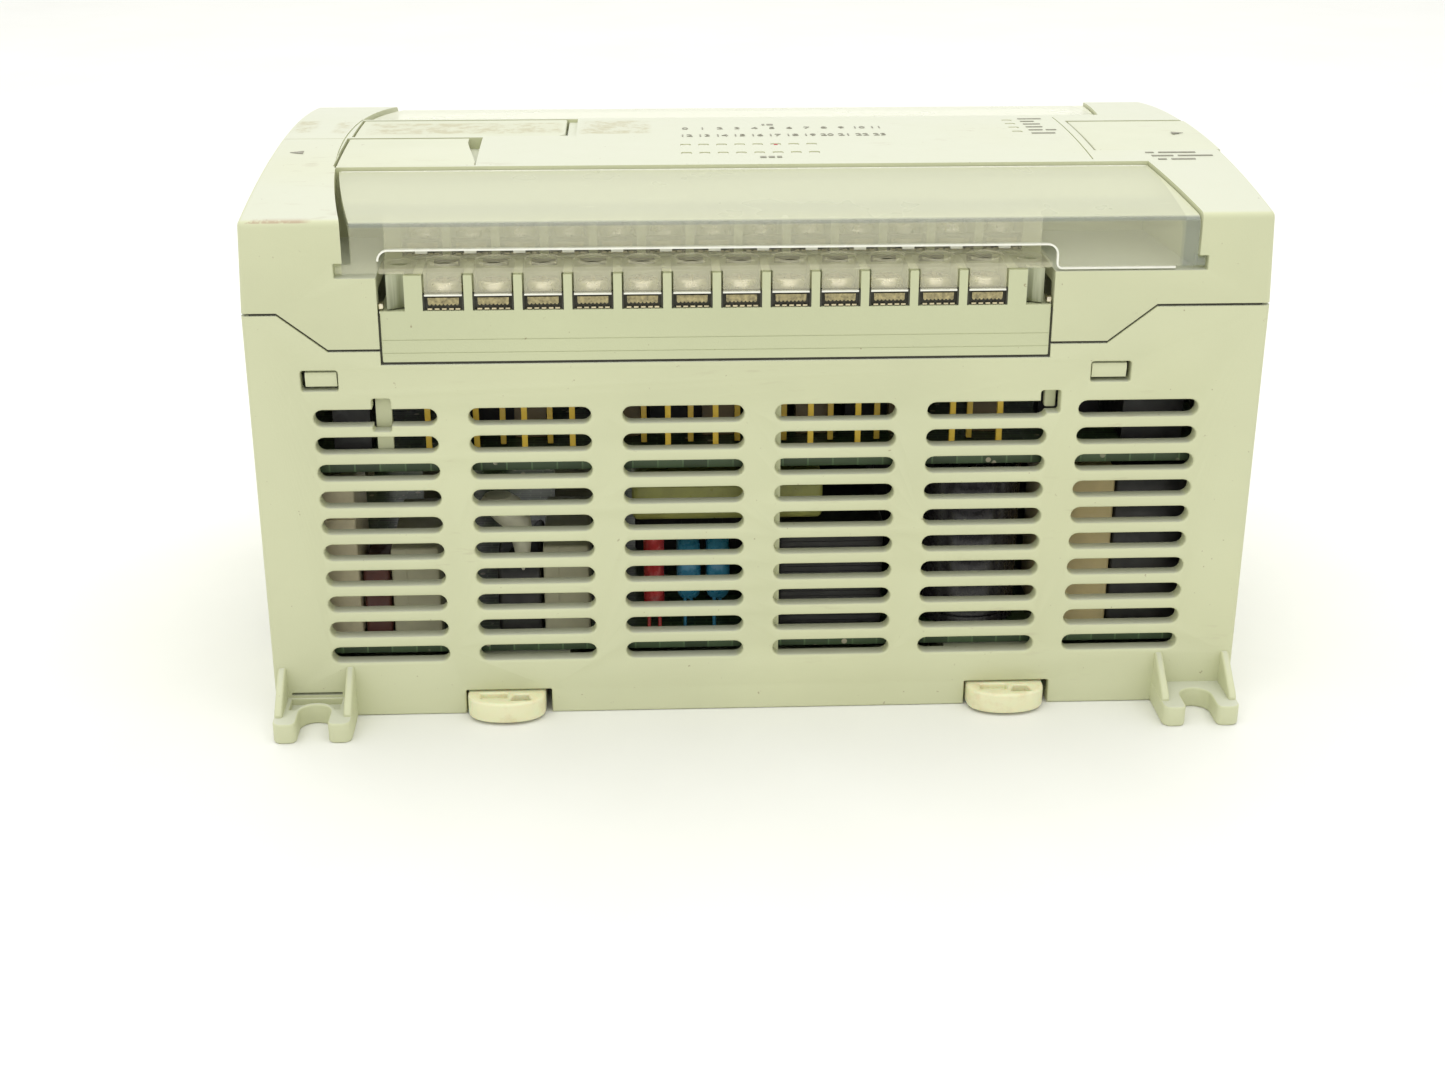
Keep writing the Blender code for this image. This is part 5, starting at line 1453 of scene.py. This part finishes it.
def make_printing():
    numerals()
    dark = bars(0.0016, -0.0153, (0.001, 0.001, 0.0008), 0.0009)
    dark += bars(0.0034, 0.0104, (0.0005, 0.0011), 0.0011)
    status_words = ((0.0042,), (0.0024,), (0.003,), (0.0029,), (0.0024, 0.0018), (0.0041,))
    for row, widths in enumerate(status_words):
        dark += bars(0.0497, 0.0148 - row * 0.0028, widths, 0.0006, 0.0006)
    for row, widths in enumerate(((0.0014, 0.0062), (0.0036, 0.0058), (0.0014, 0.004))):
        dark += bars(0.066 + row * 0.0006, -0.0143 - row * 0.0021, widths, 0.0006, 0.0008)
    dark.append(triangle(-0.074, -0.01, 0.0022, 0.002, -1))
    ink_piece("panel_printing", "front_housing", dark)
    ink_piece("bus_lid_arrow", "bus_cover", [triangle(0.074, 0.0, 0.002, 0.0016, 1)])


# ---------------------------------------------------------------- light, floor and camera

CAMERA_PLACE = (-0.02016, -0.35185, 0.1593)
CAMERA_HEADING = -2.66
CAMERA_DIP = 22.77
CAMERA_ROLL = 0.12
FOCAL_LENGTH_MM = 51.17


def make_studio():
    world = bpy.data.worlds.new("studio")
    bpy.context.scene.world = world
    world.use_nodes = True
    background = world.node_tree.nodes["Background"]
    background.inputs["Color"].default_value = (1.0, 1.0, 1.0, 1.0)
    background.inputs["Strength"].default_value = 1.0

    for name, place, size, power, aim in (
            ("overhead", (0.0, 0.05, 0.9), 1.1, 5.2, (0.0, 0.0, 0.05)),
            ("front_fill", (-0.35, -1.1, 0.45), 0.9, 0.7, (0.0, 0.0, 0.04))):
        light = bpy.data.lights.new(name, "AREA")
        light.shape = "SQUARE"
        light.size = size
        light.energy = power
        obj = bpy.data.objects.new(name, light)
        obj.location = place
        obj.rotation_euler = (Vector(aim) - Vector(place)).to_track_quat("-Z", "Y").to_euler()
        bpy.context.scene.collection.objects.link(obj)

    floor_surface = Surface("floor_paper", IOR=1.4)
    speckle = floor_surface.band(floor_surface.noise(14.0, 4.0), 0.3, 0.7)
    floor_surface.paint(floor_surface.mix(speckle, (0.805, 0.805, 0.755), (0.835, 0.835, 0.79)))
    floor_surface.set("Roughness", floor_surface.band(floor_surface.noise(60.0), 0.3, 0.7, 0.55, 0.7))
    floor_surface.bump(floor_surface.noise(900.0, 3.0), 0.00001)
    floor = mesh_object("floor", [box((-1.6, 1.6), (-1.4, 1.8), (-0.01, -0.00002))])
    floor.data.materials.append(floor_surface.material)

    camera = bpy.data.cameras.new("camera")
    camera.sensor_width = 36.0
    camera.lens = FOCAL_LENGTH_MM
    camera.clip_start = 0.01
    obj = bpy.data.objects.new("camera", camera)
    turn = Matrix.Rotation(math.radians(CAMERA_HEADING), 4, "Z")
    turn = turn @ Matrix.Rotation(math.radians(90 - CAMERA_DIP), 4, "X")
    turn = turn @ Matrix.Rotation(math.radians(CAMERA_ROLL), 4, "Z")
    obj.matrix_world = Matrix.Translation(CAMERA_PLACE) @ turn
    bpy.context.scene.collection.objects.link(obj)
    bpy.context.scene.camera = obj
    bpy.context.scene.view_settings.view_transform = "Standard"


make_base()
make_front()
make_covers()
make_doors()
for side_name, side in SIDES:
    make_block(side_name, side)
    make_terminals(side_name, side)
    make_guard(side_name, side)
    make_header(side_name, side)
make_gaskets()
make_latches()
make_boards()
make_display_parts()
make_power_parts()
make_printing()
make_studio()

bpy.context.view_layer.update()
